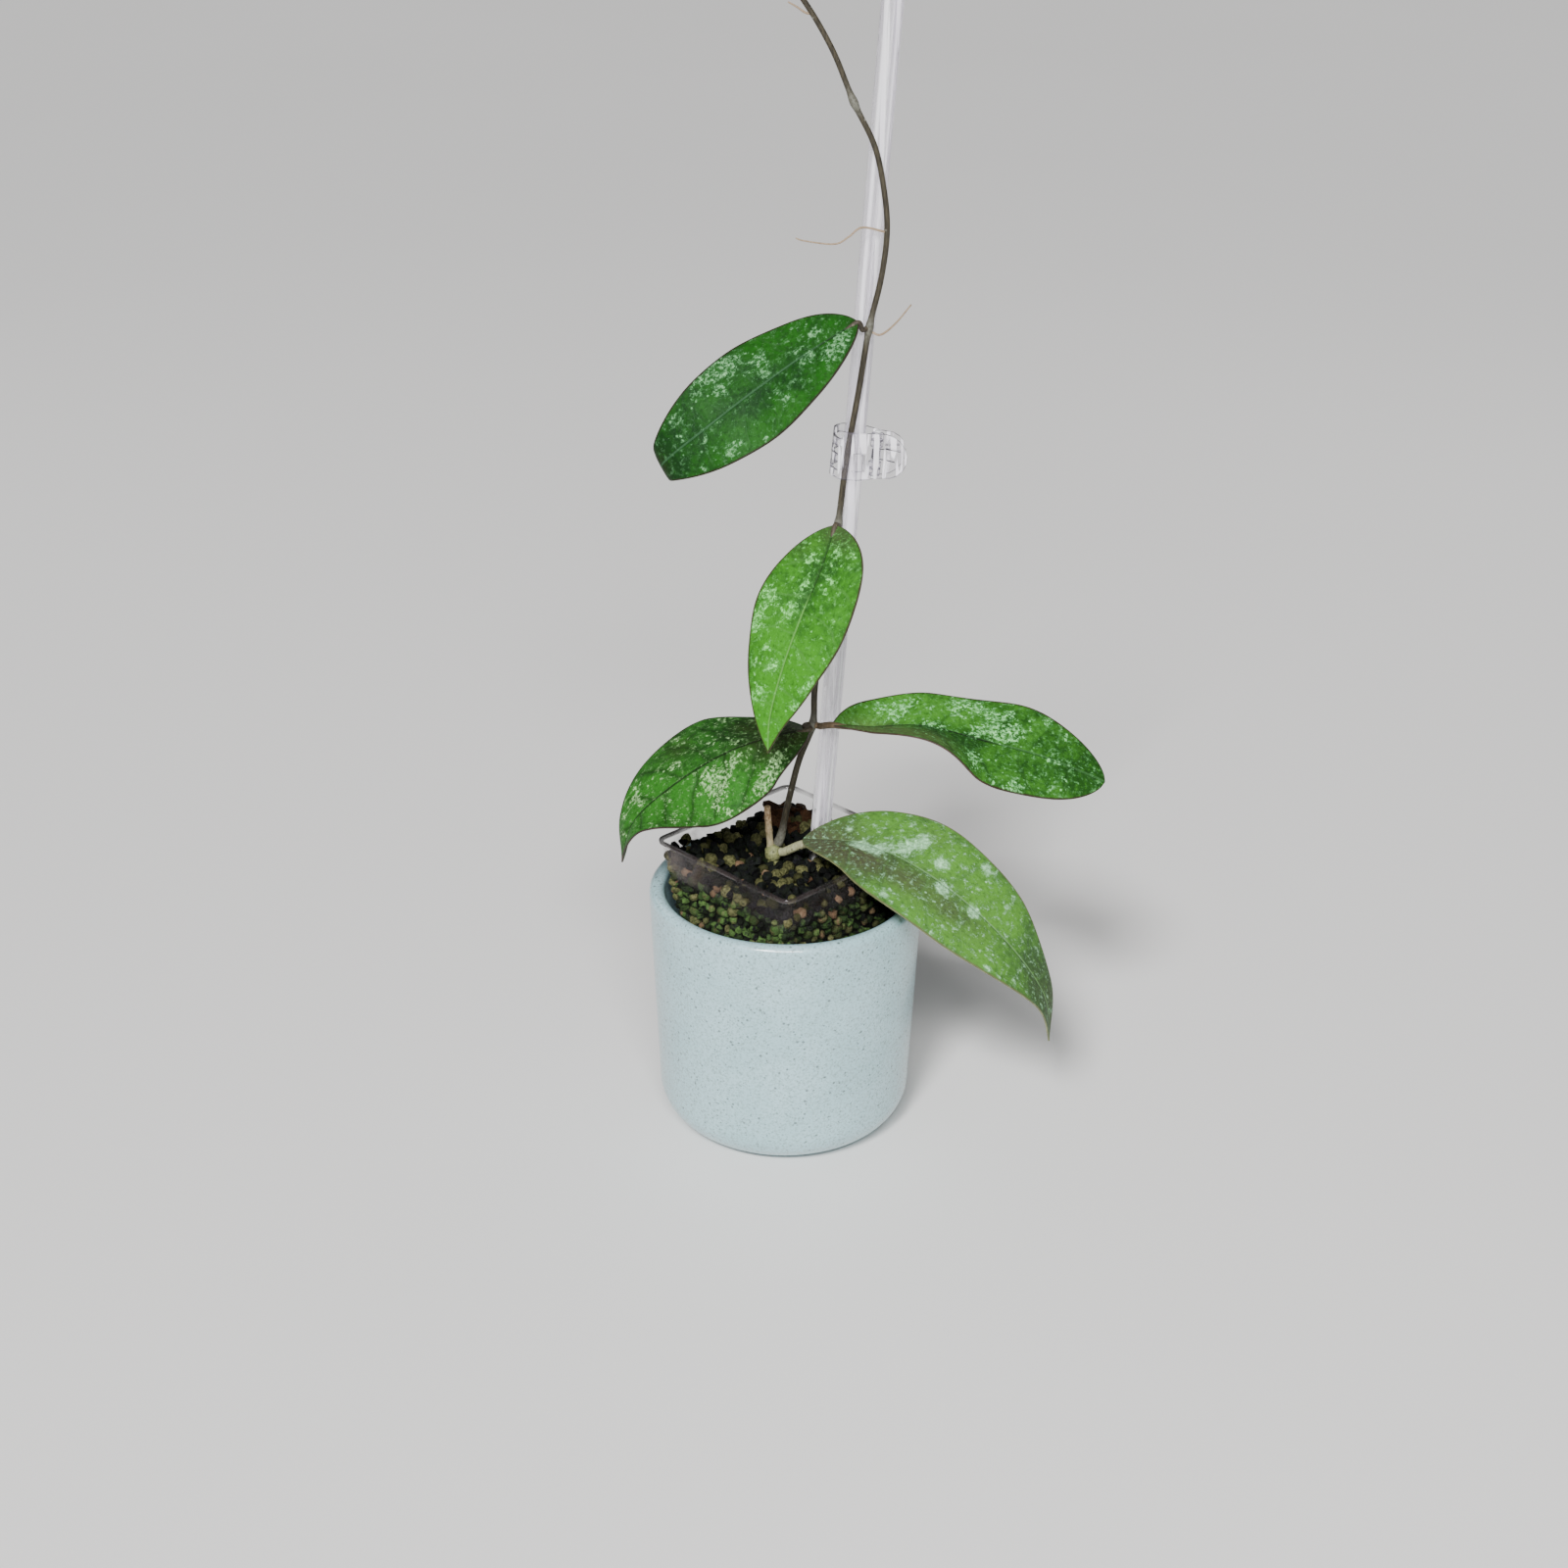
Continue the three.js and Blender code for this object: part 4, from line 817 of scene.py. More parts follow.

# Marks on each blade: share of its length, mm across from the midrib, reach in mm, strength.
# Tone lightens the green where it is above 0 and deepens it where it is below, on the lower right blade also
# as painted shadow.
MARKS = {
    "leaf_basal": {
        "splash": [
            (0.55, 1.4, 3.4, 1.2), (0.45, 3, 3.6, 0.75), (0.44, 1.4, 3, 0.8), (0.40, -8, 3.7, 1.1),
            (0.16, 1.2, 3.4, 0.7), (0.19, 2.2, 4, 0.9), (0.23, 2.4, 3.6, 0.8), (0.24, -3, 3.8, 0.6),
            (0.29, -3.6, 4, 0.75), (0.31, -9, 4, 0.65), (0.315, -14, 4, 0.8), (0.27, -9, 3.6, 0.4),
            (0.503, -20, 3, 1.1), (0.34, 22, 3, 0.8), (0.495, 23, 2, 0.8), (0.51, 17.5, 1.6, 0.9),
            (0.667, 18, 1.8, 0.9), (0.745, 12.5, 1.5, 0.9), (0.61, -12, 2, 0.7), (0.64, -6.3, 1.8, 0.6),
            (0.52, -9, 2.1, 0.6), (0.12, -7, 2.3, 0.8), (0.257, -18, 2.6, 0.6), (0.612, -18.5, 2, 0.7),
            (0.65, 12, 1.6, 0.6), (0.706, 10, 1.4, 0.7), (0.54, 12, 2.4, 0.45), (0.42, 15, 2, 0.4),
            (0.15, -14, 4, 0.35), (0.22, 17, 3.5, 0.35), (0.35, 5, 4, 0.35), (0.54, -18, 2.5, 0.45),
        ],
        "tone": [
            (0.20, -13, 13, 0.75), (0.38, -14, 14, 0.75), (0.55, -9, 13, 0.8), (0.65, -8, 10, 0.45),
            (0.38, 17, 11, 0.6), (0.5, 17, 10, 0.8), (0.63, 13, 11, 0.8), (0.75, 9, 8, 0.4),
            (0.82, 0, 15, -0.6), (0.95, 0, 14, -0.8), (0.52, 9, 8, -0.5), (0.28, 8, 10, -0.4),
            (0.3, 22, 5, 0.5),
        ],
        "cast": [
            (0.05, 4, 12, 0.9), (0.14, 11, 12, 0.9), (0.24, 10, 11, 0.85), (0.36, 9, 8, 0.75),
            (0.50, 9, 7, 0.45), (0.97, 0, 7, 0.8), (0.9, -6, 5, 0.4), (0.02, -4, 6, 0.5), (0.44, 8, 9, 0.4),
            (0.58, 6, 8, 0.3), (0.10, -10, 9, 0.35), (0.33, -17, 7, 0.25), (0.84, 0, 12, 0.3),
        ],
    },
    "leaf_lower_left": {
        "splash": [
            (0.44, -9.5, 6, 1), (0.32, -4.5, 2.6, 0.95), (0.36, -6.5, 2.6, 0.8), (0.47, -6.5, 3.8, 1),
            (0.43, -14, 3.4, 0.95), (0.13, -12, 3.6, 0.9), (0.16, -15, 4, 0.95), (0.2, -18.5, 5, 0.95),
            (0.27, -22.5, 4, 0.95), (0.47, -20, 3, 0.95), (0.44, -24, 2.2, 0.8), (0.245, -16, 2, 0.8),
            (0.62, -21.5, 2.2, 0.65), (0.69, -16, 3.6, 0.6), (0.66, -6, 2.2, 0.65), (0.57, 8.3, 2.4, 1),
            (0.755, 10, 3, 0.9), (0.755, 4.5, 2.6, 0.85), (0.83, 8.5, 2.6, 0.8), (0.41, 9, 2.2, 0.5),
            (0.325, 7.5, 2.2, 0.5), (0.3, 4, 2.2, 0.6), (0.33, 23, 2.6, 0.65), (0.535, 22, 1.5, 0.7),
            (0.73, 15, 2.4, 0.6), (0.89, 3.6, 1.8, 0.6), (0.8, -13, 3, 0.45), (0.63, 6, 2.4, 0.45),
        ],
        "tone": [
            (0.3, -15, 12, 0.7), (0.5, -14, 14, 0.8), (0.62, -5, 9, 0.6), (0.8, 0, 14, 1),
            (0.66, 8, 9, 0.4), (0.42, 14, 9, 0.15), (0.15, 10, 14, -0.6), (0.3, 12, 8, -0.5),
            (0.12, -4, 10, -0.4), (0.5, 6, 8, -0.2),
        ],
        "cast": [
            (0.05, 0, 10, 1), (0.14, 12, 10, 0.8), (0.24, 16, 7, 0.5), (0.54, 17, 6, 0.6),
            (0.2, -6, 9, 0.65), (0.33, -3, 7, 0.3), (0.97, 0, 6, 0.5),
        ],
    },
    "leaf_lower_right": {
        "splash": [
            (0.22, -5.5, 4, 0.8), (0.24, -11.5, 4, 0.9), (0.165, -10, 3.2, 0.85), (0.34, -1.5, 3, 0.85),
            (0.39, -1, 3, 0.75), (0.35, -11.5, 1.8, 0.7), (0.445, -17, 4.4, 1), (0.435, -11.5, 2.2, 0.85),
            (0.515, -3.5, 3, 1.1), (0.555, -7, 4, 1.1), (0.607, -7, 4, 1.1), (0.61, -3.8, 3, 1),
            (0.505, -17, 3.6, 0.9), (0.56, -14, 3, 0.85), (0.607, -16, 3, 0.85), (0.667, -9.5, 3, 0.7),
            (0.64, -4, 2.6, 0.9), (0.525, 16, 3.6, 1), (0.51, 12, 2.8, 0.95), (0.7, 18, 3.6, 1.05),
            (0.81, 12.5, 1.8, 0.9), (0.8, -0.5, 2.6, 0.85), (0.86, 0, 1.7, 0.8), (0.855, 6, 1.7, 0.6),
            (0.83, -13, 2.2, 0.8), (0.75, -16.5, 2.2, 0.75), (0.75, 10, 1.5, 0.7), (0.61, 20, 2.2, 0.65),
            (0.3, 7, 2, 0.3), (0.28, -15, 3, 0.5),
        ],
        # The marks just beside the rib, at 0.2 to 0.48 of the length with tone below 0, are painted shadow
        # along it
        "tone": [
            (0.08, -6, 9, 1), (0.2, -9, 10, 0.8), (0.35, -8, 12, 0.6), (0.45, -13, 9, 0.5),
            (0.72, 12, 9, -0.2), (0.95, 0, 12, -0.5), (0.85, 0, 10, -0.1), (0.35, 4, 7, -0.9),
            (0.48, 3, 7, -0.8), (0.2, 2, 5, -0.6), (0.6, 12, 9, 0.2),
        ],
        "cast": [
            (0.08, 6, 9, 1), (0.16, 12, 10, 1), (0.27, 14, 9, 0.75), (0.38, 17, 8, 0.5), (0.2, 6, 6, 0.6),
        ],
    },
    "leaf_middle": {
        "splash": [
            (0.17, 5, 3, 0.95), (0.122, -5, 2.5, 1), (0.237, -5.5, 2, 0.95), (0.18, -4, 1.6, 0.7),
            (0.286, 4, 3.2, 0.75), (0.29, -5.5, 1.5, 0.7), (0.395, 15, 3.2, 0.95), (0.36, 16, 3, 0.7),
            (0.4, 4.5, 2.8, 0.9), (0.43, 6.5, 2.8, 0.65), (0.48, 16.5, 4, 0.9), (0.535, 16.5, 2.8, 0.7),
            (0.578, 9, 2.2, 0.95), (0.633, 4, 2.8, 0.9), (0.66, 5.5, 1.8, 0.75), (0.645, 11, 1.9, 0.7),
            (0.766, 6, 3, 1), (0.78, 10, 1.9, 0.65), (0.86, 6.5, 2.4, 0.5), (0.766, -9, 2.4, 0.85),
            (0.69, -10, 2.6, 0.75), (0.66, -13, 2.2, 0.75), (0.57, -4.5, 2.4, 0.45), (0.487, -7, 1.4, 0.6),
            (0.4, -14, 1.6, 0.7), (0.14, -12, 1.8, 0.65), (0.547, -15.5, 2.2, 0.55),
            (0.626, -13.3, 1.4, 0.8), (0.33, 6, 2, 0.4), (0.08, 9, 2.5, 0.4),
        ],
        "tone": [
            (0.09, 5, 5, 0.5), (0.25, 11, 8, 0.35), (0.35, -12, 10, 0.3), (0.5, 8, 10, 0.6),
            (0.6, -7, 11, 0.8), (0.78, 0, 11, 1), (0.93, 0, 8, 0.8), (0.2, 0, 6, -0.7), (0.34, 1, 6, -0.6),
            (0.47, 0, 4, -0.3), (0.04, -4, 7, -0.5),
        ],
        "cast": [(0.02, 0, 7, 0.8), (0.08, -8, 6, 0.5), (0.12, 11, 6, 0.4)],
    },
    "leaf_upper": {
        "splash": [
            (0.163, 6, 3, 1.05), (0.1, -4.5, 4.4, 1), (0.146, -6.5, 2.8, 0.95), (0.07, -2.5, 2.6, 0.8),
            (0.208, -1.5, 2.6, 0.9), (0.24, -2, 2.2, 0.55), (0.197, 13, 2.2, 0.6), (0.383, 3, 2.2, 1.05),
            (0.389, 8, 3.6, 0.7), (0.36, 10, 2.2, 0.6), (0.552, 8, 2.8, 0.95), (0.512, 13.5, 4, 0.85),
            (0.574, 17, 4, 0.9), (0.45, 14.5, 3.2, 0.8), (0.484, 18, 3, 0.6), (0.6, 18, 2.8, 0.75),
            (0.642, 12.3, 1.9, 0.95), (0.777, 3, 2, 0.75), (0.766, 9.5, 3.6, 0.55), (0.653, -12.7, 3, 0.95),
            (0.608, -12, 2.2, 0.6), (0.383, -6, 2.2, 0.65), (0.377, -11, 3, 0.55), (0.315, -7, 1.4, 0.7),
            (0.169, -10.4, 1.5, 0.6), (0.704, -2.7, 2.2, 0.55), (0.76, -12, 2.2, 0.65),
            (0.523, -17, 1.6, 0.7), (0.242, 3.5, 1.4, 0.8),
        ],
        "tone": [
            (0.08, 3, 7, 0.5), (0.22, 12, 9, 0.5), (0.35, 14, 8, 0.5), (0.2, -13, 7, 0.9),
            (0.38, -15, 7, 1), (0.54, -14, 7, 0.9), (0.68, -11, 6, 0.7), (0.6, 8, 9, 0.3),
            (0.3, -5, 7, -0.3), (0.5, -5, 7, -0.4), (0.92, 0, 9, -0.8), (0.75, 0, 8, -0.2),
        ],
        "cast": [(0.94, 0, 6, 1), (0.99, 0, 5, 1), (0.0, 0, 3, 0.6)],
    },
}

# The ground that each kind of mark starts from, the most that they add up to, and the distance squared,
# in reaches, past which a mark is left out
MARK_GROUND = {"splash": 0, "tone": 0.35, "cast": 0}
MOST_MARK = 1.3
FADED = 9


# Pieces

def arc(x, z, radius, start, end, steps):
    turns = [math.radians(lerp(start, end, i / steps)) for i in range(steps + 1)]
    return [(x + radius * math.cos(turn), z + radius * math.sin(turn)) for turn in turns]


def make_cachepot():
    c = CACHEPOT
    lip = c["wall"] / 2
    inner = c["foot_radius"] - c["wall"] - c["inner_heel"]
    profile = [
        *arc(c["foot_radius"] - c["heel"], c["heel"], c["heel"], -90, 0, steps=16),
        *arc(c["rim_radius"] - lip, c["height"] - lip, lip, 0, 180, steps=14),
        *arc(inner, c["floor"] + c["inner_heel"], c["inner_heel"], 0, -90, steps=10),
    ]
    obj = turned("cachepot_glazed", profile, c["sides"])
    smooth(obj, 30)
    piece(obj, "cachepot_glazed", "plant", "glaze", ["cachepot"], glaze())


def square_ring(z, inset, per_corner=10):
    """Rounded square with its corners towards the axes, starting at its back corner."""
    n = NURSERY
    down = n["rim_z"] - z
    corner = max(lerp(n["rim_corner"], n["corner"], min(1, down / n["ease_depth"])) - inset, 1)
    flat = n["half"] - down * n["draft"] - inset - corner
    ring = []
    for side in range(4):
        centre = side * math.pi / 2
        for i in range(per_corner + 1):
            turn = centre - math.pi / 4 + (i / per_corner) * math.pi / 2
            ring.append(Vector((
                n["x"] + flat * math.sqrt(2) * math.sin(centre) + corner * math.sin(turn),
                n["y"] + flat * math.sqrt(2) * math.cos(centre) + corner * math.cos(turn),
                z,
            )))
    return ring


def ring_path(z, inset):
    """A closed path round the square pot."""
    ring = square_ring(z, inset)
    return Path([*ring, ring[0]], 400)


def make_nursery_pot():
    n = NURSERY
    ease = n["lip_round"]
    rings = [
        (n["bottom"], 0),
        (n["rim_z"] - n["ease_depth"], 0),
        (n["rim_z"] - n["lip_height"], 0),
        (n["rim_z"] - n["lip_height"] * 0.8, -n["lip"]),
        (n["rim_z"] - ease, -n["lip"]),
        (n["rim_z"], -n["lip"] + ease),
        (n["rim_z"], n["wall"] - ease),
        (n["rim_z"] - ease, n["wall"]),
        (n["rim_z"] - n["ease_depth"], n["wall"]),
        (n["bottom"] + n["floor"], n["wall"]),
    ]
    obj = lofted("nursery_pot_clear", [square_ring(z, inset) for z, inset in rings])
    smooth(obj, 50)
    piece(obj, "nursery_pot_clear", "plant", "clear_pot", ["nursery_pot"], clear_pot())


def grit_height(x, y):
    g = GRIT

    def bump(centre, reach):
        return math.exp(-((x - centre[0]) ** 2 + (y - centre[1]) ** 2) / (2 * reach ** 2))

    t = min(1, max(0, (y - g["rise_from"]) / (g["rise_to"] - g["rise_from"])))
    rise = g["rise_height"] * t * t * (3 - 2 * t)
    bank = g["bank_height"] * bump(g["bank"], g["bank_reach"])
    return g["top"] + rise + bank + g["heap_height"] * bump(g["heap"], g["heap_reach"])


def stone_shapes(seeds, rough, cuts, depth, sharp):
    """Grit shapes about the origin with a size of 1, with their sides broken off flat."""
    shapes = []
    for seed in seeds:
        rng = random.Random(seed)
        deselect()
        bpy.ops.mesh.primitive_ico_sphere_add(subdivisions=2, radius=1)
        obj = bpy.context.object
        edit_all()
        bpy.ops.transform.vertex_random(offset=rough, uniform=0.4, normal=0.6, seed=seed)
        end_edit()
        for _ in range(cuts):
            side = Vector((rng.gauss(0, 1), rng.gauss(0, 1), rng.gauss(0, 1))).normalized()
            limit = rng.uniform(depth, depth + 0.22)
            for vertex in obj.data.vertices:
                vertex.co -= side * max(0, vertex.co.dot(side) - limit)
        smooth(obj, sharp)
        shapes.append(obj)
    return shapes


def lay_stone(shape, place, size, rng, tone, moss, stretch):
    obj = shape.copy()
    obj.data = shape.data.copy()
    bpy.context.collection.objects.link(obj)
    turn = Euler([rng.random() * 2 * math.pi for _ in range(3)]).to_matrix().to_4x4()
    breadth = lerp(*STONE_SIZE["breadth"], rng.random())
    scale = Matrix.Diagonal((size * stretch * MM, size * breadth * MM, size * MM, 1))
    obj.data.transform(Matrix.Translation(Vector(place) * MM) @ turn @ scale)
    set_evenly(obj, tone=tone, moss=moss)
    return obj


def stone_kind(rng, near_heap, by_wall):
    pick = rng.random()
    if near_heap and pick < SURFACE_STONES["bark_share"]:
        return "bark"
    lava, pumice = STONE_SHARES["wall" if by_wall else "surface"]
    if pick < lava:
        return "lava"
    return "pumice" if pick < pumice else "tan"


def clear_of_stems(x, y, size):
    """True where a stone doesn't run into the stake or the cutting's knob."""
    stake = math.hypot(x - STAKE["x"] - STAKE["lean"] * GRIT["top"], y - STAKE["y"])
    knob = math.hypot(x - CUTTING["knob"][0], y - CUTTING["knob"][1])
    near_knob = 0.8 * (CUTTING["knob_radius"] + size)
    return stake > STAKE["radius"] + size and knob > near_knob


class LooseStones:
    """The single stones, laid over the grit and behind the clear wall."""

    def __init__(self):
        self.rng = random.Random(23)
        self.broken = stone_shapes(seeds=range(3, 11), rough=0.12, cuts=9, depth=0.5, sharp=26)
        self.rounded = stone_shapes(seeds=range(21, 27), rough=0.07, cuts=6, depth=0.66, sharp=60)
        self.laid = {kind: [] for kind in STONES}

    def lay(self, x, y, z, size, by_wall, moss):
        rng, heap, s = self.rng, GRIT["heap"], STONE_SIZE
        near_heap = math.hypot(x - heap[0], y - heap[1]) < SURFACE_STONES["bark_reach"] and not by_wall
        kind = stone_kind(rng, near_heap, by_wall)
        grown = size * (s["bark"] if kind == "bark" else 1)
        stretch = s["bark_stretch"] if kind == "bark" else lerp(*s["stretch"], rng.random())
        shape = rng.choice(self.broken if kind in ("lava", "bark") else self.rounded)
        stone = lay_stone(shape, (x, y, z), grown * s["all"], rng, rng.random(), moss, stretch)
        self.laid[kind].append(stone)

    def over_surface(self):
        rng, n, s = self.rng, NURSERY, SURFACE_STONES
        reach = n["half"] - (n["rim_z"] - GRIT["top"]) * n["draft"] - n["wall"] - s["most"]
        row = s["spacing"] * math.sqrt(3) / 2
        for lift, shift in s["layers"]:
            for j in range(int(2 * reach / row) + 1):
                for i in range(int(2 * reach / s["spacing"]) + 1):
                    along_row = (i + (j % 2) / 2 + shift) * s["spacing"]
                    across = -reach + along_row + rng.uniform(-s["scatter"], s["scatter"])
                    back = -reach + j * row + rng.uniform(-s["scatter"], s["scatter"])
                    size = lerp(s["least"], s["most"], rng.random())
                    beyond_corner = abs(across) + abs(back) > s["corner_reach"] * reach
                    if abs(across) > reach or abs(back) > reach or beyond_corner:
                        continue
                    x = n["x"] + (across - back) * math.sqrt(0.5)
                    y = n["y"] + (across + back) * math.sqrt(0.5)
                    if clear_of_stems(x, y, size):
                        z = grit_height(x, y) + lift + rng.uniform(-s["lift"], s["lift"])
                        self.lay(x, y, z, size, False, s["moss"])

    def behind_wall(self):
        rng, w = self.rng, WALL_STONES
        for level in range(w["rows"]):
            z = GRIT["top"] + w["above"] - level * w["step"]
            outer = ring_path(z, NURSERY["wall"] + w["gap"])
            inner = ring_path(z, w["inner"])
            count = int(outer.length / w["spacing"])
            for i in range(count):
                share = (i + 0.5 * (level % 2) + rng.uniform(-w["scatter"], w["scatter"])) / count % 1
                size = lerp(w["least"], w["most"], rng.random())
                edge = outer.at(share)
                place = edge + (inner.at(share) - edge).normalized() * size * w["sunk"]
                if place.z > grit_height(place.x, place.y) + w["proud"]:
                    continue
                depth = min(1, max(0, (GRIT["top"] - w["moss_below"] - z) / w["moss_fade"]))
                side = 1.0 if place.x < NURSERY["x"] else w["moss_right"]
                moss = depth * side * rng.choice(w["moss"])
                lift = rng.uniform(-w["lift"], w["lift"])
                self.lay(place.x, place.y, place.z + lift, size, True, moss)

    def clear_shapes(self):
        for shape in self.broken + self.rounded:
            bpy.data.objects.remove(shape)


def make_grit():
    stones = LooseStones()
    stones.over_surface()
    stones.behind_wall()
    finishes = {kind: grit_stone(look) for kind, look in STONES.items()}
    for kind, laid in stones.laid.items():
        obj = join_all(laid, "grit_" + kind)
        piece(obj, "grit_" + kind, "plant", "grit", ["substrate"], finishes[kind])
    stones.clear_shapes()
    make_grit_bed(finishes["lava"])


def make_grit_bed(material):
    """The body of grit under the loose stones, which fills the pot."""
    n, b = NURSERY, BED
    at_wall = n["wall"] + WALL_STONES["gap"]
    inset = n["wall"] + b["gap"]
    rings = [square_ring(n["bottom"] + n["floor"] + b["above_floor"], at_wall)]
    rings += [square_ring(z, at_wall) for z in b["at_wall"]]
    rings += [square_ring(z, inset) for z in b["inside"]]
    for shrink in b["closing"]:
        rings.append([Vector((
            n["x"] + (point.x - n["x"]) * shrink,
            n["y"] + (point.y - n["y"]) * shrink,
            grit_height(point.x * shrink, point.y * shrink) - b["below"],
        )) for point in square_ring(GRIT["top"], inset)])
    obj = lofted("grit_bed", rings)
    smooth(obj, 50)
    set_evenly(obj, tone=0.2, moss=0.3)
    piece(obj, "grit_bed", "plant", "grit", [], material)


def stake_painted_highlight(point):
    """Strength of the painted highlights: paler upright bands that stand round the stake."""
    turn = math.degrees(math.atan2(point.y, point.x))
    total = 0.0
    for middle, width, strength in STAKE["painted_highlights"]:
        away = (turn - middle + 180) % 360 - 180
        total += strength * math.exp(-((away / width) ** 2))
    return min(1, total)


def make_stake():
    s = STAKE
    side = s["radius"] - s["chamfer"]
    profile = [
        (side, 0),
        *arc(side, s["chamfer"], s["chamfer"], -60, 0, steps=3),
        *arc(side, s["length"] - s["chamfer"], s["chamfer"], 0, 60, steps=3),
        (side, s["length"]),
    ]
    obj = turned("stake_clear", profile, s["sides"])
    # Painted highlight: the streak attribute holds the paler upright bands round the stake
    set_attribute(obj, "streak", [stake_painted_highlight(vertex.co) for vertex in obj.data.vertices])
    base = Vector((s["x"] + s["lean"] * s["bottom"], s["y"], s["bottom"])) * MM
    obj.data.transform(Matrix.Translation(base) @ Matrix.Rotation(math.atan(s["lean"]), 4, "Y"))
    smooth(obj, 30)
    piece(obj, "stake_clear", "plant", "clear_rod", ["stake"], stake_acrylic())


def make_knob():
    """The old cutting's knob, with its stem and roots under the grit."""
    c = CUTTING
    deselect()
    bpy.ops.mesh.primitive_uv_sphere_add(segments=28, ring_count=18, radius=c["knob_radius"] * MM)
    knob = bpy.context.object
    edit_all()
    bpy.ops.transform.vertex_random(offset=0.3 * MM, uniform=0.1, normal=0.9, seed=5)
    bpy.ops.transform.resize(value=(0.88, 0.88, 1.0))
    end_edit()
    knob.data.transform(Matrix.Translation(Vector(c["knob"]) * MM))
    smooth(knob, 60)
    stem = swept("stem", Path(c["stem"]), tapered(c["stem_radius"], 0.2), steps=8, sides=12)
    root_radius = tapered(c["root_radius"], 0.5)
    roots = [swept("root", Path(root), root_radius, steps=10, sides=8) for root in c["roots"]]
    lower = join_all([knob, stem, *roots], "cutting_knob")
    set_evenly(lower, pale=0.4)
    low, high, fleck = (0.075, 0.080, 0.018), (0.26, 0.27, 0.085), (0.32, 0.35, 0.20)
    bark = bare_stem("knobbly cutting", low, high, fleck, length=1, pits=0.7)
    piece(lower, "cutting_knob", "plant", "old_stem", ["cutting_base"], bark)


def make_stub():
    """The dead stub that stands on the knob."""
    c = CUTTING
    foot = c["stub"][0][2]

    def radius_at(t):
        scars = sum(height * math.exp(-((t - at) / width) ** 2) for height, at, width in STUB_SCARS)
        return c["stub_radius"] * (1 - c["stub_loss"] * t + scars)

    stub = swept("cutting_stub", Path(c["stub"]), radius_at, steps=40, sides=20)
    pale = [max(0, 1 - (vertex.co.z / MM - foot) / c["stub_pale"]) for vertex in stub.data.vertices]
    set_attribute(stub, "pale", pale)
    low, high, fleck = (0.25, 0.15, 0.070), (0.56, 0.42, 0.26), (0.42, 0.42, 0.24)
    bark = bare_stem("dead stub", low, high, fleck, length=2, pits=0.8)
    piece(stub, "cutting_stub", "plant", "old_stem", [], bark)


def length_to(path, spot, steps=600):
    """How far along the path its nearest point to the spot lies."""
    nearest = min(range(steps + 1), key=lambda i: (path.at(i / steps) - spot).length)
    return nearest / steps * path.length


def make_vine():
    v = VINE
    path = Path(v["path"])
    spots = [Vector(node) for node in v["nodes"]]
    node_at = [length_to(path, spot) for spot in spots]
    foot = Vector(v["path"][0])

    def radius_at(t):
        run = t * path.length
        stem = lerp(v["low_radius"], v["high_radius"], t)
        thick = (v["foot_radius"] - v["low_radius"]) * math.exp(-((run / v["foot_length"]) ** 2))
        swell = sum(v["node_swell"] * math.exp(-(((run - at) / v["node_length"]) ** 2)) for at in node_at)
        tip = min(1, (path.length - run) / v["tip_length"])
        return lerp(v["tip_radius"], stem + thick + swell, math.sqrt(tip)) - STEM_EASE

    def pale(vertex):
        place = vertex.co / MM
        near = max(math.exp(-(((place - spot).length / v["pale_node"]) ** 2)) for spot in spots)
        return min(1, near + math.exp(-(((place - foot).length / v["pale_foot"]) ** 4)))

    stem = swept("vine_stem", path, radius_at, steps=260, sides=16)
    set_attribute(stem, "pale", [pale(vertex) for vertex in stem.data.vertices])
    bark = bare_stem("olive stem", (0.020, 0.016, 0.009), (0.052, 0.043, 0.024), (0.16, 0.16, 0.13))
    piece(stem, "vine_stem", "plant", "stem", ["vine"], bark)


def make_aerial_roots():
    root_radius = tapered(AERIAL_ROOT_RADIUS, 0.4)
    roots = [swept("root", Path(root), root_radius, steps=24, sides=8) for root in AERIAL_ROOTS]
    obj = join_all(roots, "aerial_roots")
    set_evenly(obj, pale=0.75)
    skin = bare_stem("aerial root", (0.17, 0.11, 0.06), (0.30, 0.20, 0.12), (0.34, 0.26, 0.18), length=1)
    piece(obj, "aerial_roots", "plant", "stem", [], skin)


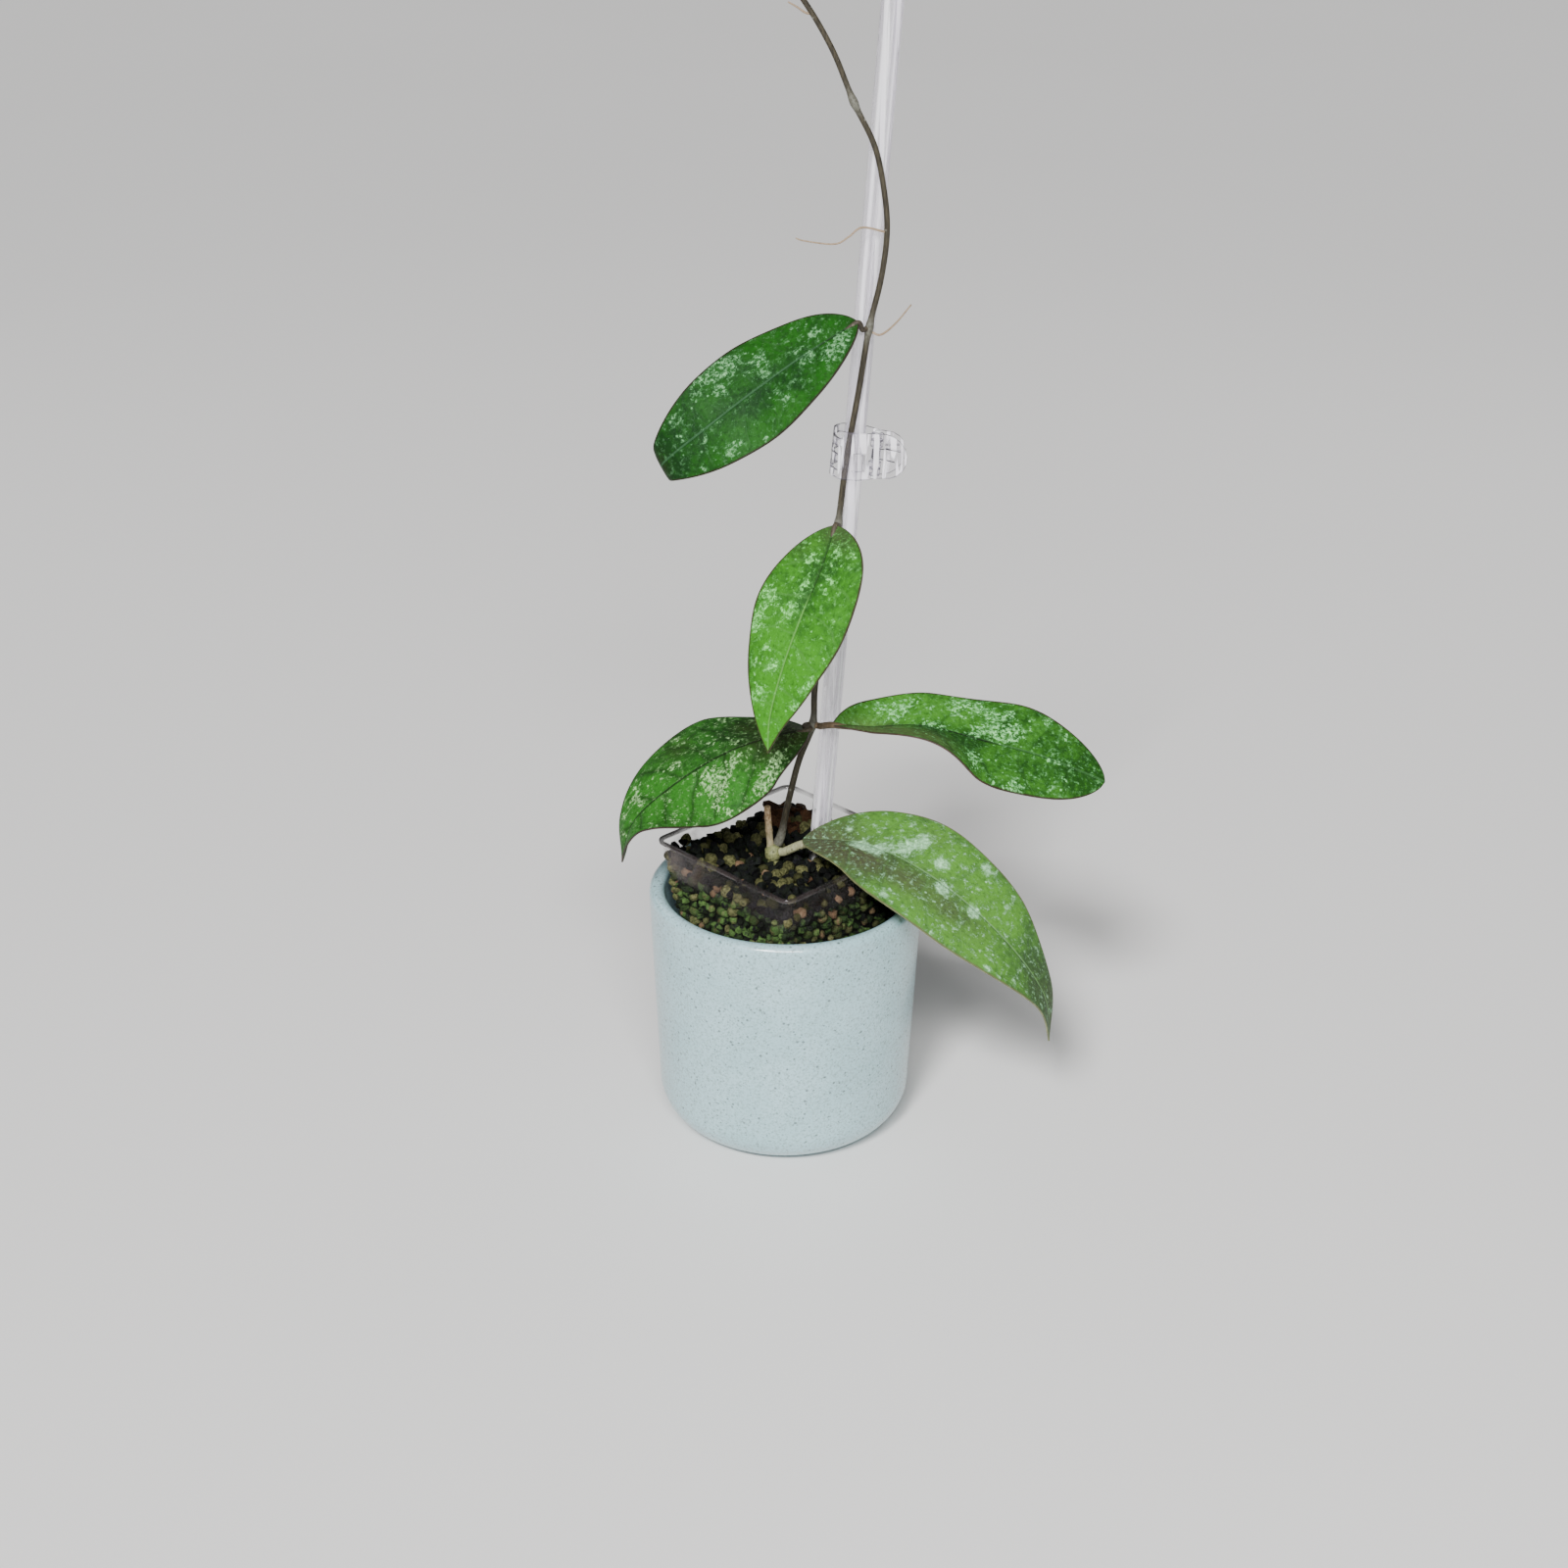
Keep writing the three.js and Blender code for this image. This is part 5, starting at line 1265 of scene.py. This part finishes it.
class Blade:
    """The surface of one leaf, from its midrib, width, roll, fold and puckers. Millimetres."""

    def __init__(self, leaf):
        self.leaf = leaf
        self.path = Path(leaf["midrib"])
        swell, taper = leaf["swell"], leaf["taper"]
        widest = swell / (swell + taper)
        self.peak = widest ** swell * (1 - widest) ** taper
        self.frames = [self.frame(i) for i in self.carry(BLADE["along"])]

    def carry(self, steps):
        """Tangents and a normal that is carried along the midrib without twisting."""
        carried = Vector(self.leaf["up"]).normalized()
        for i in range(steps + 1):
            t = i / steps
            tangent = self.path.tangent(t)
            carried = (carried - tangent * carried.dot(tangent)).normalized()
            yield t, tangent, carried.copy()

    def frame(self, step):
        t, tangent, carried = step
        roll = math.radians(along(self.leaf["roll"], t))
        normal = carried * math.cos(roll) + tangent.cross(carried) * math.sin(roll)
        return {
            "t": t, "centre": self.path.at(t), "normal": normal, "across": tangent.cross(normal),
            "fold": math.radians(along(self.leaf["fold"], t)), "width": self.half_width(t),
        }

    def half_width(self, t):
        end = lerp(BLADE["base_half"], BLADE["tip_half"], t)
        body = self.leaf["half_width"] * t ** self.leaf["swell"] * (1 - t) ** self.leaf["taper"] / self.peak
        return max(end, body)

    def point(self, frame, s):
        """A point of the surface, at the share s across it from -1 to 1."""
        leaf, t, width = self.leaf, frame["t"], frame["width"]
        reach = width * abs(s)
        share = min(1, width / leaf["half_width"])
        vein = math.sin(math.pi * BLADE["veins"] * (t - BLADE["vein_sweep"] * abs(s)))
        quilt = leaf["pucker"] * vein * math.sin(math.pi * abs(s)) * share
        shift = 0 if s > 0 else BLADE["wave_shift"]
        wave = leaf["wave"] * math.sin(2 * math.pi * BLADE["waves"] * t + shift) * s * s * share
        height = reach * math.sin(frame["fold"]) - leaf["arch"] * s * s * width + quilt + wave
        side = math.copysign(1, s) if s else 0
        out = frame["across"] * side * reach * math.cos(frame["fold"])
        return frame["centre"] + out + frame["normal"] * height


def mark_strength(marks, length, x, y):
    """How strongly a point of the blade, in mm along and across, lies in the marks."""
    total = 0.0
    for share, across, reach, strength in marks:
        square = ((x - share * length) ** 2 + (y - across) ** 2) / reach ** 2
        if square < FADED:
            total += strength * math.exp(-square)
    return total


def set_blade_attributes(obj, name, length, points):
    """Writes what the blade's finish reads: places in metres and the strengths of its marks."""
    values = {"along": [], "across": [], "edge": [], "splash": [], "tone": [], "cast": []}
    for x, y, edge in points:
        values["along"].append(x * MM)
        values["across"].append(y * MM)
        values["edge"].append(edge * MM)
        for kind, ground in MARK_GROUND.items():
            values[kind].append(min(MOST_MARK, ground + mark_strength(MARKS[name][kind], length, x, y)))
    for key, numbers in values.items():
        set_attribute(obj, key, numbers)


def thin_towards_edge(obj):
    """Makes the blade thinner at its edge, by the weights of the group that its thickness follows."""
    group = obj.vertex_groups.new(name="thickness")
    for vertex in obj.data.vertices:
        edge = obj.data.attributes["edge"].data[vertex.index].value / MM
        weight = lerp(BLADE["edge"] / BLADE["middle"], 1, edge / BLADE["thin_reach"])
        group.add([vertex.index], min(1, weight), "REPLACE")


def make_blade(name, blade):
    deselect()
    steps, sides = BLADE["along"], BLADE["across"]
    bpy.ops.mesh.primitive_grid_add(x_subdivisions=steps, y_subdivisions=sides, size=1)
    obj = bpy.context.object
    length = blade.path.length
    points = []
    for vertex in obj.data.vertices:
        t = vertex.co.x + 0.5
        # From 1 to -1 across the blade, with the columns closer together towards its edges
        s = -math.sin(vertex.co.y * math.pi) * 0.25 - vertex.co.y * 1.5
        frame = blade.frames[round(t * steps)]
        vertex.co = blade.point(frame, s) * MM
        points.append((t * length, s * frame["width"], (1 - abs(s)) * frame["width"]))
    set_blade_attributes(obj, name, length, points)
    thin_towards_edge(obj)
    look = LOOKS[name]
    for side, finish in (("face", leaf_face), ("under", leaf_under), ("edge", leaf_edge)):
        obj.data.materials.append(finish(name + " " + side, look))
    apply_modifier(
        obj, "SOLIDIFY", "thickness", thickness=BLADE["middle"] * MM, offset=0, vertex_group="thickness",
        use_even_offset=False, material_offset=1, material_offset_rim=2)
    raise_ridge(obj, blade)
    smooth(obj, 80)
    return obj


def raise_ridge(obj, blade):
    """Pulls the underside down along the midrib, where the rib stands out."""
    under = set()
    for face in obj.data.polygons:
        if face.material_index == 1:
            under.update(face.vertices)
    across = obj.data.attributes["across"].data
    run = obj.data.attributes["along"].data
    for index in under:
        t = min(1, run[index].value / MM / blade.path.length)
        near = math.exp(-((across[index].value / MM) / BLADE["ridge_reach"]) ** 2)
        frame = blade.frames[round(t * BLADE["along"])]
        obj.data.vertices[index].co -= frame["normal"] * BLADE["ridge"] * (1 - t) * near * MM


def make_petiole(leaf, blade):
    p = PETIOLE
    sag = leaf.get("sag", 0)
    out = Vector(leaf["out"]).normalized()
    start = Vector(leaf["node"]) + out * (leaf["node_radius"] - p["sunk"])
    bend = start + out * p["straight"]
    under = Vector(leaf["midrib"][0]) - Vector((0, 0, sag))
    inside = blade.frames[round(p["reach"] * BLADE["along"])]
    end = inside["centre"] - inside["normal"] * p["drop"] - Vector((0, 0, p["sag_at_end"] * sag))

    def radius_at(t):
        taper = max(0, t - p["taper_from"]) / (1 - p["taper_from"])
        return lerp(leaf["petiole_radius"], p["end_radius"], taper) - STEM_EASE

    return swept("petiole", Path([start, bend, under, end]), radius_at, steps=28, sides=14)


# Colours of each leaf's stalk: dark, light and fleck
PETIOLES = {
    "leaf_basal": ((0.17, 0.165, 0.085), (0.33, 0.33, 0.19), (0.40, 0.42, 0.27)),
    "leaf_lower_left": ((0.022, 0.018, 0.009), (0.055, 0.043, 0.022), (0.10, 0.08, 0.05)),
    "leaf_lower_right": ((0.07, 0.042, 0.02), (0.15, 0.10, 0.05), (0.19, 0.15, 0.09)),
    "leaf_middle": ((0.025, 0.018, 0.010), (0.06, 0.045, 0.025), (0.12, 0.10, 0.07)),
    "leaf_upper": ((0.016, 0.012, 0.008), (0.045, 0.034, 0.02), (0.11, 0.09, 0.06)),
}
LEAF_SLOTS = {
    "leaf_basal": "leaf_olive", "leaf_lower_left": "leaf_deep", "leaf_lower_right": "leaf_green",
    "leaf_middle": "leaf_light", "leaf_upper": "leaf_deep",
}


def make_leaf(name):
    leaf = LEAVES[name]
    blade = Blade(leaf)
    obj = make_blade(name, blade)
    piece(obj, name.replace("leaf", "blade"), "plant", LEAF_SLOTS[name], [name])
    stalk = make_petiole(leaf, blade)
    set_evenly(stalk, pale=0.25)
    pits = 0.9 if name == "leaf_basal" else 0
    skin = bare_stem(name + " petiole", *PETIOLES[name], length=2, pits=pits)
    piece(stalk, name.replace("leaf", "petiole"), "plant", "stem", [], skin)


def finished_copy(source):
    """A CAD node's mesh as a new piece, with its loose triangles merged into clean faces."""
    obj = source.copy()
    obj.data = source.data.copy()
    obj.animation_data_clear()
    for key in list(obj.keys()):
        del obj[key]
    obj.parent = None
    obj.data.materials.clear()
    bpy.context.collection.objects.link(obj)
    choose(obj)
    edit_all()
    bpy.ops.mesh.remove_doubles(threshold=1e-6)
    bpy.ops.mesh.dissolve_limited(angle_limit=math.radians(1))
    end_edit()
    return obj


def make_clip(nodes):
    plastic = clip_plastic()
    steel = two_tone(
        "bright pin", 2, (0.82, 0.84, 0.86), (0.98, 0.98, 0.99), Metallic=0.25, Roughness=0.22)
    wire = two_tone(
        "spring wire", 1, (0.004, 0.004, 0.005), (0.022, 0.022, 0.025), Metallic=0.6, Roughness=0.35)
    parts = {
        "clip_back_jaw": ("plant", "clear_clip", plastic),
        "clip_front_jaw": ("clip_jaw", "clear_clip", plastic),
        "clip_pin": ("plant", "pin_metal", steel),
        "clip_spring": ("plant", "spring_wire", wire),
        "clip_spring_arm": ("clip_jaw", "spring_wire", wire),
    }
    for node, (body, slot, material) in parts.items():
        obj = finished_copy(nodes[node])
        if "jaw" in node:
            apply_modifier(
                obj, "BEVEL", "soft edges", width=0.22 * MM, segments=2, limit_method="ANGLE",
                angle_limit=math.radians(35), use_clamp_overlap=True)
        smooth(obj, 45)
        piece(obj, node + "_finished", body, slot, [node], material)


# Stage

def lamp(name, place, target, size, power):
    deselect()
    bpy.ops.object.light_add(type="AREA", location=place)
    light = bpy.context.object
    light.name = name
    light.data.shape = "RECTANGLE"
    light.data.size, light.data.size_y = size
    light.data.energy = power
    light.rotation_euler = (Vector(target) - Vector(place)).to_track_quat("-Z", "Y").to_euler()


def make_lights():
    world = bpy.data.worlds.new("studio")
    bpy.context.scene.world = world
    world.use_nodes = True
    background = world.node_tree.nodes["Background"]
    background.inputs["Color"].default_value = (0.97, 0.98, 1.0, 1.0)
    background.inputs["Strength"].default_value = 0.17
    lamp("front softbox", (0.05, -1.15, 1.0), (0, 0, 0.18), (0.5, 0.22), 17)
    lamp("back left softbox", (-0.9, 0.9, 0.9), (0, 0, 0.2), (0.5, 0.5), 1.3)
    lamp("back right softbox", (0.9, 0.9, 0.9), (0, 0, 0.2), (0.5, 0.5), 1.3)
    deselect()
    bpy.ops.object.light_add(type="SUN", location=(-0.5, -1.5, 1.6))
    sun = bpy.context.object
    sun.name = "wide front light"
    sun.data.energy, sun.data.angle = 3.9, 0.2
    sun.rotation_euler = (Vector((0, 0, 0.1)) - sun.location).to_track_quat("-Z", "Y").to_euler()


def make_floor():
    deselect()
    bpy.ops.mesh.primitive_plane_add(size=14, location=(0, 3, 0))
    floor = bpy.context.object
    floor.name = "floor"
    pale = two_tone("pale floor", 900, (0.74, 0.73, 0.72), (0.78, 0.77, 0.76), Roughness=0.8)
    floor.data.materials.append(pale)


def make_camera():
    deselect()
    bpy.ops.object.camera_add()
    camera = bpy.context.object
    pitch, roll = math.radians(CAMERA["pitch"]), math.radians(CAMERA["roll"])
    forward = Vector((0, math.cos(pitch), -math.sin(pitch)))
    up = Vector((0, math.sin(pitch), math.cos(pitch)))
    right = Vector((1, 0, 0))
    across = math.cos(roll) * right + math.sin(roll) * up
    above = -math.sin(roll) * right + math.cos(roll) * up
    turn = Matrix((across, above, -forward)).transposed()
    camera.matrix_world = Matrix.Translation(Vector(CAMERA["place"]) * MM) @ turn.to_4x4()
    camera.data.sensor_width = SENSOR_MM
    camera.data.lens = SENSOR_MM * CAMERA["focal_px"] / IMAGE_PX
    camera.data.clip_start, camera.data.clip_end = 0.01, 50
    bpy.context.scene.camera = camera


for leftover in list(bpy.data.objects):
    bpy.data.objects.remove(leftover)
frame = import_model()
make_camera()
make_floor()
make_lights()
make_cachepot()
make_nursery_pot()
make_grit()
make_stake()
make_knob()
make_stub()
make_vine()
make_aerial_roots()
for leaf_name in LEAVES:
    make_leaf(leaf_name)
make_clip(frame["nodes"])
deselect()
